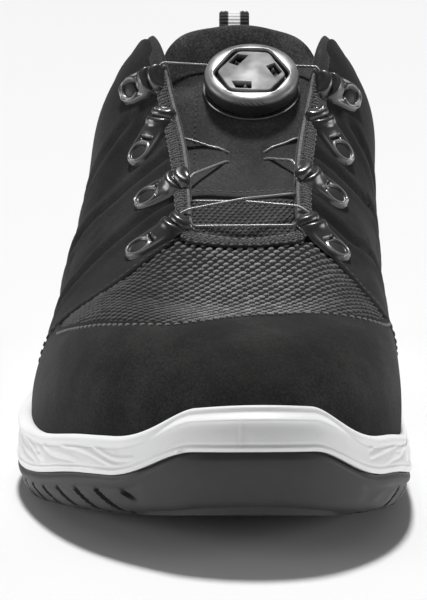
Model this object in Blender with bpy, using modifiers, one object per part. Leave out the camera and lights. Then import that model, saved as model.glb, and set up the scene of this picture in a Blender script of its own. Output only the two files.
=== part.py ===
"""Low safety shoe, right foot, fastened by a wire lace and a winding dial.

Working sizes are millimetres in the last's own frame: x towards the inner (medial)
side, d backwards from the toe tip, z up from the floor. place() turns them into
metres with the toe at -Y, the heel at +Y and the origin under the middle of the sole.
"""
import math

import bmesh
import bpy
import numpy as np
from mathutils import Matrix, Vector

# ---------------------------------------------------------------- driving sizes (mm)
SOLE_LENGTH = 295.0        # outsole, toe to heel, about EU 42
AXIS_TO_MIDDLE = -7.35     # middle of the sole's width, from the toe-heel line
UPPER_INSET = 4.2          # upper's foot line, inside the sole's outline
WALL = 2.8                 # vamp and quarters with their lining
COLLAR_WALL = 7.6          # padded collar
RIM = 2.3                  # thickness of the midsole's rim against the upper
GAP = 0.35                 # between pieces that meet
OUTSOLE_WALL = 2.8         # side wall of the rubber cup
BUMPER_WALL = 1.5          # its wall at the toe
OUTSOLE_FLOOR = 5.6        # tread and base under the midsole
TREAD_DEPTH = 3.4
INSOLE_THICK = 4.0
TONGUE_THICK = 6.0
TOE_BUMPER = 8.8           # rise of the rubber at the toe
TOE_RIM = 11.0             # rise of the midsole's rim at the toe
DIAL_RADIUS = 14.3
DIAL_HEIGHT = 8.0
DIAL_TILT = math.radians(27.0)   # dial's axis, leaning to the toe
GUIDE_WIDTH = 9.4
GUIDE_THICK = 2.0
GUIDE_ROLL = 2.1           # radius of the roll that the wire runs in
WIRE = 0.5                 # radius of the wire lace
LOOP_WIDTH = 10.0          # webbing of the heel loop
LOOP_THICK = 1.6
ROUND = 66                 # facets round the shoe

# ---------------------------------------------------------------- the last
# A row for each section round the shoe, heel, outer side, toe, inner side.
# sole: outline of the sole; low, high: two points up the upper; top: its top line.
#  name     sole x      d |  low x      d      z | high x      d      z |  top x      d      z
LAST = [
    ("heel",  0.0, 295.0,   0.0, 291.5, 56.0,   0.0, 288.0, 80.0,   0.0, 284.5,  97.0),
    ("o1",  -21.5, 288.5, -21.0, 286.5, 56.0, -19.0, 283.0, 80.0, -17.0, 280.5,  95.5),
    ("o2",  -36.5, 267.0, -35.0, 265.5, 56.0, -32.5, 264.5, 76.0, -29.0, 263.0,  88.5),
    ("o3",  -41.5, 240.0, -40.0, 240.0, 56.0, -38.0, 240.0, 72.0, -34.0, 240.0,  83.5),
    ("o4", -43.5, 210.0, -42.4, 212.0,  58.0, -41.2, 214.0,  80.0, -35.0, 217.0,  92.0),
    ("o5", -46.5, 180.0, -44.4, 186.0,  64.0, -38.9, 192.0,  95.0, -27.5, 194.0, 114.0),
    ("o6", -52.0, 150.0, -47.3, 156.0,  60.0, -35.0, 164.0,  80.5, -21.0, 172.0, 101.5),
    ("o7", -59.0, 120.0, -50.0, 126.0,  49.0, -34.6, 135.0,  68.0, -16.5, 145.0,  86.5),
    ("o8", -62.8,  90.0, -50.6,  94.0,  44.5, -34.6, 106.0,  58.0, -15.0, 121.0,  75.0),
    ("o9",  -56.5,  56.0, -45.5,  66.0, 50.0, -30.0,  88.0, 59.0, -13.5, 110.0,  68.5),
    ("o10", -40.5,  25.0, -33.0,  36.0, 53.0, -20.0,  70.0, 58.0,  -8.0, 107.3,  67.3),
    ("o11", -18.0,   5.5, -14.5,  21.0, 54.0,  -8.0,  57.0, 57.5,  -3.0, 106.5,  66.8),
    ("toe",   4.0,   0.0,   3.5,  17.5, 54.5,   2.5,  52.0, 57.3,   2.0, 106.3,  66.7),
    ("i11",  23.0,   5.0,  20.0,  22.0, 54.0,  12.0,  57.0, 57.3,   7.0, 106.5,  66.8),
    ("i10",  38.0,  21.0,  31.5,  36.0, 52.5,  21.0,  68.0, 58.0,  12.0, 107.3,  67.3),
    ("i9",   46.5,  48.0,  40.0,  60.0, 49.5,  29.0,  86.0, 59.0,  17.5, 110.0,  68.5),
    ("i8",  48.2,  80.0,  42.6,  86.0,  46.0,  34.5, 104.0,  58.0,  18.5, 121.0,  75.0),
    ("i7",  46.4, 110.0,  41.8, 118.0,  48.0,  34.7, 133.0,  68.0,  19.5, 145.0,  86.5),
    ("i6",  43.0, 142.0,  41.4, 150.0,  56.0,  35.5, 163.0,  81.0,  23.5, 172.0, 101.5),
    ("i5",  41.0, 175.0,  40.3, 184.0,  62.0,  40.0, 192.0,  94.0,  29.0, 194.0, 114.0),
    ("i4",  40.0, 207.0,  40.4, 211.0,  58.0,  40.0, 214.0,  80.0,  35.0, 217.0,  92.0),
    ("i3",   39.5, 238.0,  39.0, 239.0, 56.0,  37.5, 240.0, 72.0,  34.0, 240.0,  83.5),
    ("i2",   35.5, 266.5,  34.5, 265.0, 56.0,  32.0, 264.0, 76.0,  28.5, 262.5,  88.5),
    ("i1",   21.0, 288.5,  20.5, 286.5, 56.0,  18.5, 283.0, 80.0,  16.5, 280.5,  95.5),
]
# A row for each station along the sole: heights above the floor.
#   d   tread  inner floor  rubber's edge  rim
SOLE = [
    (0, 16.5, 26.0, 23.5, 33.5),
    (10, 12.8, 24.0, 22.5, 33.0),
    (28, 8.8, 20.5, 19.5, 30.0),
    (55, 3.6, 17.0, 12.6, 24.0),
    (70, 0.9, 15.9, 10.0, 22.4),
    (78, 0.0, 15.3, 9.2, 21.8),
    (130, 0.0, 17.0, 8.8, 24.0),
    (150, 1.5, 19.6, 10.2, 26.5),
    (175, 3.5, 23.5, 12.0, 30.0),
    (200, 1.5, 27.0, 10.4, 33.5),
    (215, 0.0, 28.5, 9.4, 35.5),
    (280, 0.0, 30.0, 9.6, 39.5),
    (288, 1.5, 30.0, 10.2, 40.5),
    (295, 5.0, 30.0, 11.5, 41.0),
]
# The tongue's middle line: distance back, height.
TONGUE_LINE = [(88, 54.5), (98, 58.5), (106, 62.0), (121, 70.5), (145, 83.0),
               (160, 91.0), (170, 97.0), (180, 107.0), (188, 119.3)]
# Lace guides: place on the upper (section, share of the way up) of the throat end and of the foot.
GUIDES = [
    ("lace_guide_outer_1", 5.86, 0.990, 5.44, 0.815),
    ("lace_guide_outer_2", 6.30, 0.990, 6.40, 0.785),
    ("lace_guide_outer_3", 7.52, 0.990, 7.14, 0.772),
    ("lace_guide_outer_4", 8.46, 0.990, 7.92, 0.702),
    ("lace_guide_inner_1", 18.06, 0.990, 18.54, 0.800),
    ("lace_guide_inner_2", 17.66, 0.990, 17.68, 0.775),
    ("lace_guide_inner_3", 16.60, 0.990, 16.88, 0.770),
    ("lace_guide_inner_4", 15.58, 0.990, 15.84, 0.742),
]

COLLECTION = "safety_shoe"


# ---------------------------------------------------------------- curves through the tables
def smooth_step(low, high, x):
    t = np.clip((x - low) / (high - low), 0, 1)
    return t * t * (3 - 2 * t)


def hermite(t, a, b, slope_a, slope_b):
    return ((1 + 2 * t) * (1 - t) ** 2 * a + t * (1 - t) ** 2 * slope_a
            + t * t * (3 - 2 * t) * b + t * t * (t - 1) * slope_b)


def even_curve(x, y, at):
    """A curve through the points that never overshoots them."""
    x, y, at = (np.asarray(v, float) for v in (x, y, at))
    step = np.diff(x)
    rise = np.diff(y) / step
    slope = np.zeros_like(y)
    for i in range(1, len(x) - 1):
        if rise[i - 1] * rise[i] > 0:
            before, after = 2 * step[i] + step[i - 1], step[i] + 2 * step[i - 1]
            slope[i] = (before + after) / (before / rise[i - 1] + after / rise[i])
    slope[0], slope[-1] = rise[0], rise[-1]
    k = np.clip(np.searchsorted(x, at) - 1, 0, len(x) - 2)
    t = np.clip((at - x[k]) / step[k], 0, 1)
    return hermite(t, y[k], y[k + 1], step[k] * slope[k], step[k] * slope[k + 1])


def closed_curve(rows, at):
    """A closed smooth curve through the rows, read at fractional row numbers."""
    rows, n = np.asarray(rows, float), len(rows)
    matrix = 4 * np.eye(n) + np.roll(np.eye(n), 1, 0) + np.roll(np.eye(n), -1, 0)
    slope = np.linalg.solve(matrix, 3 * (np.roll(rows, -1, 0) - np.roll(rows, 1, 0)))
    at = np.asarray(at, float) % n
    k = np.floor(at).astype(int) % n
    t, j = (at - np.floor(at))[:, None], (k + 1) % n
    return hermite(t, rows[k], rows[j], slope[k], slope[j])


def open_curve(points, at):
    """A smooth curve through points (k, 3), read at shares 0 to 1 of its length."""
    points = np.asarray(points, float)
    x = np.concatenate([[0], np.cumsum(np.linalg.norm(np.diff(points, axis=0), axis=1))])
    x /= x[-1]
    k, h = len(points), np.diff(x)
    matrix, right = np.zeros((k, k)), np.zeros_like(points)
    matrix[0, :2], matrix[-1, -2:] = (2, 1), (1, 2)
    right[0], right[-1] = 3 * (points[1] - points[0]) / h[0], 3 * (points[-1] - points[-2]) / h[-1]
    for i in range(1, k - 1):
        matrix[i, i - 1:i + 2] = h[i], 2 * (h[i] + h[i - 1]), h[i - 1]
        right[i] = 3 * (h[i] * (points[i] - points[i - 1]) / h[i - 1]
                        + h[i - 1] * (points[i + 1] - points[i]) / h[i])
    slope = np.linalg.solve(matrix, right)
    at = np.asarray(at, float)
    i = np.clip(np.searchsorted(x, at, side="right") - 1, 0, k - 2)
    t, w = ((at - x[i]) / h[i])[:, None], h[i][:, None]
    return hermite(t, points[i], points[i + 1], w * slope[i], w * slope[i + 1])


LAST_ROWS = np.array([row[1:] for row in LAST])
SECTIONS = len(LAST)
SOLE_ROWS = np.array(SOLE, float)


# ---------------------------------------------------------------- the sole's heights and outline
def sole_height(column, d):
    return even_curve(SOLE_ROWS[:, 0], SOLE_ROWS[:, column], np.clip(d, 0, SOLE_LENGTH))


def toe_rise(x, d):
    """1 across the front of the toe, 0 elsewhere."""
    return (smooth_step(-31, -16, x) * (1 - smooth_step(24, 37, x))
            * (1 - smooth_step(30, 60, d)))


def tread_z(x, d):
    return sole_height(1, d)


def floor_z(x, d):
    return sole_height(2, d)


def rubber_z(x, d):
    return sole_height(3, d) + TOE_BUMPER * toe_rise(x, d)


def rim_z(x, d):
    return sole_height(4, d) + TOE_RIM * toe_rise(x, d)


def outline(s):
    """Points (n, 2) of the sole's outline at sections s, and the outward directions."""
    here = closed_curve(LAST_ROWS[:, :2], s)
    along = closed_curve(LAST_ROWS[:, :2], np.asarray(s) + 1e-3) - closed_curve(LAST_ROWS[:, :2], np.asarray(s) - 1e-3)
    out = np.stack([along[:, 1], -along[:, 0]], 1)
    out /= np.linalg.norm(out, axis=1)[:, None]
    if np.sum(out * (here - here.mean(0))) < 0:
        out = -out
    return here, out


def rubber_wall(x, d):
    return OUTSOLE_WALL - (OUTSOLE_WALL - BUMPER_WALL) * toe_rise(x, d)


def sole_ring(s, offset, z):
    """A ring beside the outline, offset(x, d) outwards, at height z(x, d)."""
    here, out = outline(s)
    x, d = here[:, 0], here[:, 1]
    aside = offset(x, d) if callable(offset) else np.full(len(x), float(offset))
    return np.column_stack([here + out * aside[:, None], z(x, d)])


# ---------------------------------------------------------------- the upper's outer form
def rib(s):
    """The five points of the upper's section s, from the foot line to the top line."""
    here, out = outline([s])
    floor = float(floor_z(here[:, 0], here[:, 1])[0]) + GAP
    row = closed_curve(LAST_ROWS[:, 2:], [s])[0]
    low, high, top = row[0:3], row[3:6], row[6:9]
    foot = np.append(here[0] - out[0] * UPPER_INSET, floor)
    wall = np.append(here[0] - out[0] * (UPPER_INSET - 0.4), min(0.5 * (floor + low[2]), floor + 13))
    return np.stack([foot, wall, low, high, top])


def upper_point(s, t):
    return open_curve(rib(s), [t])[0]


def upper_normal(s, t):
    e = 2e-3
    across = upper_point(s + e, t) - upper_point(s - e, t)
    up = upper_point(s, min(1, t + e)) - upper_point(s, max(0, t - e))
    n = np.cross(across, up)
    return n / np.linalg.norm(n)


def wall_thickness(s, t):
    """WALL, growing to COLLAR_WALL round the padded collar and easing off at its edge."""
    s = s % SECTIONS
    from_heel = min(s, SECTIONS - s)
    padded = 1 - smooth_step(5.0, 5.9, from_heel)
    shape = smooth_step(0.5, 0.8, t) * (1 - 0.45 * smooth_step(0.93, 1.0, t))
    return float(WALL + (COLLAR_WALL - WALL) * padded * shape)


def upper_at_height(s, z):
    """The upper's outer point in section s at a height on its lower wall."""
    low, high = 0.0, 0.5
    for _ in range(30):
        middle = 0.5 * (low + high)
        if upper_point(s, middle)[2] < z:
            low = middle
        else:
            high = middle
    return upper_point(s, low)


# ---------------------------------------------------------------- building in Blender
def place(p):
    """Working millimetres to the part's frame in metres."""
    p = np.atleast_2d(np.asarray(p, float))
    return np.column_stack([p[:, 0] - AXIS_TO_MIDDLE, p[:, 1] - SOLE_LENGTH / 2, p[:, 2]]) / 1000


def turn(v):
    return Vector((v[0], v[1], v[2]))


def clear_scene():
    for obj in list(bpy.data.objects):
        bpy.data.objects.remove(obj, do_unlink=True)
    for name in (COLLECTION, "cutters"):
        if name not in bpy.data.collections:
            bpy.context.scene.collection.children.link(bpy.data.collections.new(name))


def material(name, colour, roughness, metallic=0.0):
    made = bpy.data.materials.new(name)
    made.use_nodes = True
    shader = made.node_tree.nodes["Principled BSDF"]
    shader.inputs["Base Color"].default_value = (*colour, 1)
    shader.inputs["Roughness"].default_value = roughness
    shader.inputs["Metallic"].default_value = metallic
    return made


def mesh_object(name, points, faces, look=None, collection=COLLECTION):
    mesh = bpy.data.meshes.new(name)
    mesh.from_pydata([tuple(p) for p in points], [], faces)
    mesh.update()
    obj = bpy.data.objects.new(name, mesh)
    bpy.data.collections[collection].objects.link(obj)
    if look:
        mesh.materials.append(look)
    return obj


def face_out(obj):
    """Turns the faces of a closed mesh outwards."""
    bm = bmesh.new()
    bm.from_mesh(obj.data)
    bmesh.ops.remove_doubles(bm, verts=bm.verts, dist=1e-7)
    bmesh.ops.recalc_face_normals(bm, faces=bm.faces)
    bm.to_mesh(obj.data)
    bm.free()
    obj.data.shade_smooth()
    obj.data.set_sharp_from_angle(angle=math.radians(40))


def ladder(first, n):
    """Faces across a ring of n points, from each outer point to the inner one beside it."""
    made = []
    for i in range(n // 2):
        a, b, c, e = i, i + 1, (n - i - 1) % n, (n - i) % n
        for corners in ((a, b, c), (a, c, e)):
            if len(set(corners)) == 3:
                made.append([first + k for k in corners])
    return made


def loft(name, rings, look, capped=True):
    """Rings of equal count joined one to the next, closed across the first and last."""
    n = len(rings[0])
    points = place(np.concatenate(rings))
    faces = [(r * n + i, r * n + (i + 1) % n, (r + 1) * n + (i + 1) % n, (r + 1) * n + i)
             for r in range(len(rings) - 1) for i in range(n)]
    if capped:
        faces += ladder(0, n) + ladder((len(rings) - 1) * n, n)
    obj = mesh_object(name, points, faces, look)
    face_out(obj)
    return obj


def sheet(name, grid, look, thickness, side, weights=None, around=False):
    """A grid of points (rows, columns, 3) made a solid by Solidify. side is -1 to grow against the face normals."""
    rows, columns = grid.shape[:2]
    faces = []
    for r in range(rows - 1):
        for c in range(columns if around else columns - 1):
            k = (c + 1) % columns
            faces.append((r * columns + c, r * columns + k, (r + 1) * columns + k, (r + 1) * columns + c))
    obj = mesh_object(name, place(grid.reshape(-1, 3)), faces, look)
    solid = obj.modifiers.new("wall", "SOLIDIFY")
    solid.thickness, solid.offset = thickness / 1000, side
    if weights is not None:
        group = obj.vertex_groups.new(name="thickness")
        for i, w in enumerate(np.asarray(weights).ravel()):
            group.add([i], float(w), "REPLACE")
        solid.vertex_group = "thickness"
    obj.data.shade_smooth()
    return obj


def freeze(obj):
    """Replaces an object's mesh by what its modifiers make of it."""
    graph = bpy.context.evaluated_depsgraph_get()
    made = bpy.data.meshes.new_from_object(obj.evaluated_get(graph))
    obj.modifiers.clear()
    old, obj.data = obj.data, made
    bpy.data.meshes.remove(old)
    return obj


def boolean(obj, other, operation):
    """Joins or cuts obj with other and removes other."""
    modifier = obj.modifiers.new(operation.lower(), "BOOLEAN")
    modifier.operation, modifier.object, modifier.solver = operation, other, "EXACT"
    freeze(obj)
    bpy.data.objects.remove(other, do_unlink=True)
    return obj


def helper(obj):
    obj.hide_render = True
    obj.display_type = "WIRE"
    return obj


def axes_matrix(origin, x_axis, z_axis):
    """A placing matrix in metres: origin in working millimetres, x and z directions."""
    z = turn(z_axis).normalized()
    x = (turn(x_axis) - turn(x_axis).dot(z) * z).normalized()
    y = z.cross(x)
    where = turn(place(origin)[0])
    return Matrix.Translation(where) @ Matrix((x, y, z)).transposed().to_4x4()


def cylinder(name, radius, length, sides, matrix, look=None, collection="cutters", scale=(1, 1)):
    """A closed cylinder about its matrix's z axis, in working millimetres."""
    mesh = bpy.data.meshes.new(name)
    bm = bmesh.new()
    bmesh.ops.create_cone(bm, cap_ends=True, segments=sides, radius1=radius / 1000, radius2=radius / 1000, depth=length / 1000)
    bmesh.ops.scale(bm, vec=(scale[0], scale[1], 1), verts=bm.verts)
    bmesh.ops.transform(bm, matrix=matrix, verts=bm.verts)
    bmesh.ops.recalc_face_normals(bm, faces=bm.faces)
    bm.to_mesh(mesh)
    bm.free()
    obj = bpy.data.objects.new(name, mesh)
    bpy.data.collections[collection].objects.link(obj)
    if look:
        mesh.materials.append(look)
    return obj


def turned(name, profile, matrix, look, steps=32):
    """A profile of (radius, height) rows, top to bottom, turned about its matrix's z axis."""
    obj = mesh_object(name, [(r / 1000, 0, z / 1000) for r, z in profile], [], look)
    bm = bmesh.new()
    bm.from_mesh(obj.data)
    bm.verts.ensure_lookup_table()
    for i in range(len(profile) - 1):
        bm.edges.new((bm.verts[i], bm.verts[i + 1]))
    bm.to_mesh(obj.data)
    bm.free()
    obj.matrix_world = matrix
    screw = obj.modifiers.new("turn", "SCREW")
    screw.steps = screw.render_steps = steps
    screw.use_merge_vertices, screw.merge_threshold = True, 0.00001
    screw.use_normal_calculate = True
    return obj


def wire(name, points, look, keep=True):
    """A round wire through working points, as a mesh."""
    curve = bpy.data.curves.new(name, "CURVE")
    curve.dimensions = "3D"
    curve.bevel_depth, curve.bevel_resolution, curve.use_fill_caps = WIRE / 1000, 2, True
    spline = curve.splines.new("POLY")
    placed = place(points)
    spline.points.add(len(placed) - 1)
    for point, p in zip(spline.points, placed):
        point.co = (*p, 1)
    obj = bpy.data.objects.new(name, curve)
    bpy.data.collections[COLLECTION].objects.link(obj)
    bpy.context.view_layer.update()
    mesh = bpy.data.meshes.new_from_object(obj.evaluated_get(bpy.context.evaluated_depsgraph_get()))
    bpy.data.objects.remove(obj, do_unlink=True)
    solid = bpy.data.objects.new(name, mesh)
    bpy.data.collections[COLLECTION].objects.link(solid)
    mesh.materials.clear()
    mesh.materials.append(look)
    bm = bmesh.new()
    bm.from_mesh(mesh)
    bmesh.ops.remove_doubles(bm, verts=bm.verts, dist=1e-6)
    bmesh.ops.recalc_face_normals(bm, faces=bm.faces)
    bm.to_mesh(mesh)
    bm.free()
    return solid


# ---------------------------------------------------------------- sole
def cup_z(x, d):
    """Height where the rubber cup's wall turns into its floor."""
    low = tread_z(x, d) + OUTSOLE_FLOOR
    return low + np.maximum(0.4, 0.25 * (rubber_z(x, d) - low))


def make_outsole(look):
    s = np.arange(ROUND) * SECTIONS / ROUND
    rings = [
        sole_ring(s, -4.5, tread_z),
        sole_ring(s, -1.0, lambda x, d: tread_z(x, d) + 2.2),
        sole_ring(s, 0.0, lambda x, d: 0.5 * (tread_z(x, d) + 2.2 + rubber_z(x, d))),
        sole_ring(s, -0.2, rubber_z),
        sole_ring(s, lambda x, d: -rubber_wall(x, d), rubber_z),
        sole_ring(s, lambda x, d: -rubber_wall(x, d) - 0.4, cup_z),
        sole_ring(s, lambda x, d: -rubber_wall(x, d) - 2.4, lambda x, d: tread_z(x, d) + OUTSOLE_FLOOR),
    ]
    outsole = loft("outsole", rings, look)
    # Tread: slanted grooves in from each edge, and one lengthwise channel under each half.
    grooves = tread_grooves()
    boolean(outsole, grooves, "DIFFERENCE")
    outsole.data.shade_smooth()
    outsole.data.set_sharp_from_angle(angle=math.radians(35))
    return outsole


# Tread grooves: a row for each run of grooves along one edge.
#  side  first d  last d  count  inner end x  slant  width
TREAD_RUNS = [
    (-1, 34.0, 132.0, 8, 6.0, 0.45, 4.6),
    (1, 34.0, 132.0, 8, 6.0, 0.45, 4.6),
    (-1, 222.0, 280.0, 5, 7.0, 0.45, 4.6),
    (1, 222.0, 280.0, 5, 7.0, 0.45, 4.6),
]


def edge_x(side, d):
    """x of the sole's outline on one side at distance d."""
    s = np.linspace(0, 12, 400) if side < 0 else np.linspace(12, 24, 400)
    here, _ = outline(s)
    order = np.argsort(here[:, 1])
    return float(np.interp(d, here[order, 1], here[order, 0]))


def groove_bar(start, end, width):
    """A bar from start to end, both (x, d), sunk TREAD_DEPTH into the tread there."""
    a, b = np.array(start, float), np.array(end, float)
    along = (b - a) / np.linalg.norm(b - a)
    side = np.array([-along[1], along[0]]) * width / 2
    count = 4
    rings = []
    for k in range(count + 1):
        p = a + (b - a) * k / count
        top = float(tread_z(p[0], p[1])) + TREAD_DEPTH
        low = float(tread_z(p[0], p[1])) - 6.0
        rings.append([(*(p + side), low), (*(p - side), low), (*(p - 0.6 * side), top), (*(p + 0.6 * side), top)])
    faces = [(4 * r + i, 4 * r + (i + 1) % 4, 4 * r + 4 + (i + 1) % 4, 4 * r + 4 + i) for r in range(count) for i in range(4)]
    faces += [(0, 1, 2, 3), (4 * count, 4 * count + 1, 4 * count + 2, 4 * count + 3)]
    bar = mesh_object("groove", place(np.concatenate([np.array(r) for r in rings])), faces, collection="cutters")
    face_out(bar)
    return helper(bar)


def tread_grooves():
    """All grooves joined in one cutter."""
    joined = None
    for side, first, last, count, inner, slant, width in TREAD_RUNS:
        for k in range(count):
            d = first + (last - first) * k / (count - 1)
            outer_x = edge_x(side, d) + side * 6.0
            middle = AXIS_TO_MIDDLE * (1 - smooth_step(130, 230, d)) * 0.6
            inner_x = middle + side * inner
            bar = groove_bar((outer_x, d), (inner_x, d - slant * abs(outer_x - inner_x)), width)
            joined = bar if joined is None else boolean(joined, bar, "UNION")
    return helper(joined)


def make_midsole(look):
    s = np.arange(ROUND) * SECTIONS / ROUND
    here, out = outline(s)
    bottom = rubber_z(here[:, 0], here[:, 1]) + GAP
    top = rim_z(here[:, 0], here[:, 1])

    def wall(share, offset):
        return np.column_stack([here + out * offset, bottom + share * (top - bottom)])

    outward = np.column_stack([out, np.zeros(ROUND)])
    lower = floor_z(here[:, 0], here[:, 1])

    def beside_upper(share):
        """The upper's wall at a share of the way from the inner floor to the rim."""
        return np.array([upper_at_height(a, z) for a, z in zip(s, lower + share * (top - lower))])

    at_rim = beside_upper(1.0)
    foot = np.column_stack([here - out * (UPPER_INSET - GAP - 0.3), lower])
    rings = [
        sole_ring(s, lambda x, d: -rubber_wall(x, d) - 2.4 - GAP, lambda x, d: tread_z(x, d) + OUTSOLE_FLOOR + GAP),
        sole_ring(s, lambda x, d: -rubber_wall(x, d) - 0.4 - GAP, lambda x, d: cup_z(x, d) + GAP),
        sole_ring(s, lambda x, d: -rubber_wall(x, d) - GAP, lambda x, d: rubber_z(x, d) + GAP),
        wall(0.0, -0.2),
        wall(0.2, 0.0),
        wall(0.65, -0.6),
        at_rim + outward * RIM + np.array([0, 0, -1.6]),
        at_rim + outward * (0.55 * RIM + GAP),
        at_rim + outward * (GAP + 0.25) + np.array([0, 0, -0.4]),
        beside_upper(0.72) + outward * (GAP + 0.25),
        beside_upper(0.42) + outward * (GAP + 0.25),
        beside_upper(0.16) + outward * (GAP + 0.25),
        foot,
    ]
    return loft("midsole", rings, look)


def make_insole(look):
    s = np.arange(ROUND) * SECTIONS / ROUND
    edge = -(UPPER_INSET + WALL + 0.7)
    rings = [
        sole_ring(s, edge - 0.8, lambda x, d: floor_z(x, d) + GAP),
        sole_ring(s, edge, lambda x, d: floor_z(x, d) + GAP + 1.0),
        sole_ring(s, edge, lambda x, d: floor_z(x, d) + INSOLE_THICK - 0.6),
        sole_ring(s, edge - 1.4, lambda x, d: floor_z(x, d) + INSOLE_THICK),
    ]
    return loft("insole", rings, look)


# ---------------------------------------------------------------- upper and tongue
UPPER_STEPS = (0.0, 0.08, 0.17, 0.27, 0.38, 0.48, 0.58, 0.68, 0.78, 0.87, 0.94, 0.98, 1.0)


def make_upper(look):
    s = np.arange(ROUND) * SECTIONS / ROUND
    ribs = [open_curve(rib(a), UPPER_STEPS) for a in s]
    grid = np.stack(ribs, axis=1)
    weights = [[wall_thickness(a, t) / COLLAR_WALL for a in s] for t in UPPER_STEPS]
    return sheet("upper", grid, look, COLLAR_WALL, -1, np.array(weights), around=True)


# The tongue's cross rows: section of the outer edge, of the inner edge, shares up the upper
# of its hidden border and of the throat edge it passes under.
TONGUE_ROWS = [
    (9.70, 14.30, 0.780, 0.830),
    (9.45, 14.55, 0.830, 0.900),
    (9.10, 14.90, 0.850, 0.950),
    (8.50, 15.50, 0.850, 0.965),
    (7.90, 16.10, 0.860, 0.970),
    (7.20, 16.80, 0.870, 0.975),
    (6.60, 17.40, 0.880, 0.975),
    (6.10, 17.90, 0.890, 0.975),
    (5.72, 18.28, 0.900, 0.975),
    (5.45, 18.55, 0.930, 0.985),
]


def under_upper(s, t, more=0.0):
    return upper_point(s, t) - upper_normal(s, t) * (wall_thickness(s, t) + 0.9 + more)


def tongue_grid(across=13, along=18):
    """The tongue's outer face, from under the vamp to its top edge."""
    line = np.array(TONGUE_LINE, float)
    rows = []
    for outer, inner, hidden, edge in TONGUE_ROWS:
        left, right = under_upper(outer, edge), under_upper(inner, edge)
        d = 0.5 * (left[1] + right[1])
        middle = np.array([0.5 * (left[0] + right[0]), d, float(even_curve(line[:, 0], line[:, 1], d))])
        rows.append([under_upper(outer, hidden, 0.4), left, middle, right, under_upper(inner, hidden, 0.4)])
    # The free top rises above the collar's front corners in an arc.
    last = np.array(rows[-1])
    crest = np.array([1.0, line[-1][0], line[-1][1]])
    lift = crest - last[2]
    rows.append([p + lift * k for p, k in zip(last, (0.12, 0.30, 1.0, 0.30, 0.12))])
    bands = [open_curve(np.array(r), np.linspace(0, 1, across)) for r in rows]
    bands = np.stack(bands)
    return np.stack([open_curve(bands[:, c], np.linspace(0, 1, along)) for c in range(across)], axis=1)


def make_tongue(look):
    grid = tongue_grid()
    rows, columns = grid.shape[:2]
    across = np.abs(np.linspace(-1, 1, columns))
    up = np.linspace(0, 1, rows)[:, None]
    weights = (1 - 0.55 * smooth_step(0.6, 1.0, across)) * (0.5 + 0.5 * smooth_step(0.05, 0.45, up)) * (1 - 0.4 * smooth_step(0.93, 1.0, up))
    return sheet("tongue", grid, look, TONGUE_THICK, -1, weights)


# ---------------------------------------------------------------- lace guides
def guide_frame(s_in, t_in, s_out, t_out, share):
    """Place, direction and normal at a share of a guide's length."""
    def at(k):
        return upper_point(s_in + (s_out - s_in) * k, t_in + (t_out - t_in) * k)
    here, e = at(share), 0.02
    along = at(share + e) - at(share - e)
    along /= np.linalg.norm(along)
    normal = upper_normal(s_in + (s_out - s_in) * share, t_in + (t_out - t_in) * share)
    normal = normal - along * (normal @ along)
    normal /= np.linalg.norm(normal)
    return here, along, normal, np.cross(normal, along)


def make_guide(name, s_in, t_in, s_out, t_out, look):
    steps = 7
    grid = []
    for k in range(steps):
        share = k / (steps - 1)
        here, along, normal, side = guide_frame(s_in, t_in, s_out, t_out, share)
        end = abs(2 * share - 1)
        half = GUIDE_WIDTH / 2 * (0.92 if share < 0.5 else math.sqrt(max(0.16, 1 - max(0, end - 0.45) ** 2 / 0.36)))
        grid.append([here + side * half * b + normal * (GAP + 0.45 - 0.25 * b * b) for b in (-1, -0.35, 0.35, 1)])
    plate = freeze(sheet(name, np.array(grid), look, GUIDE_THICK, -1))
    face_out(plate)
    here, along, normal, side = guide_frame(s_in, t_in, s_out, t_out, 0.05)
    roll = cylinder("roll", GUIDE_ROLL, GUIDE_WIDTH * 0.96, 12, axes_matrix(here + normal * (GAP + 0.6 + GUIDE_ROLL), normal, side))
    boolean(plate, helper(roll), "UNION")
    here, along, normal, side = guide_frame(s_in, t_in, s_out, t_out, 0.76)
    oval = cylinder("oval", 2.0, 2.0, 12, axes_matrix(here + normal * (GAP + 0.45 + GUIDE_THICK + 0.2), along, normal), scale=(1.65, 1.0))
    boolean(plate, helper(oval), "DIFFERENCE")
    plate.data.shade_smooth()
    plate.data.set_sharp_from_angle(angle=math.radians(40))
    return plate


# ---------------------------------------------------------------- dial
DIAL_X, DIAL_D = 4.6, 170.9
DIAL_AXIS = np.array([0.0, -math.sin(DIAL_TILT), math.cos(DIAL_TILT)])


def dial_seat():
    """The point on the dial's axis where its housing clears the tongue."""
    grid = tongue_grid(across=41, along=80).reshape(-1, 3)
    line = np.array(TONGUE_LINE, float)
    centre = np.array([DIAL_X, DIAL_D, float(even_curve(line[:, 0], line[:, 1], DIAL_D))])
    reach = grid - centre
    height = reach @ DIAL_AXIS
    aside = np.linalg.norm(reach - height[:, None] * DIAL_AXIS, axis=1)
    under = aside < DIAL_RADIUS + 0.4
    cone = np.maximum(0, aside - (DIAL_RADIUS - 3.4)) / 3.7 * 0.85
    return centre + DIAL_AXIS * ((height - cone)[under].max() + GAP)


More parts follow.
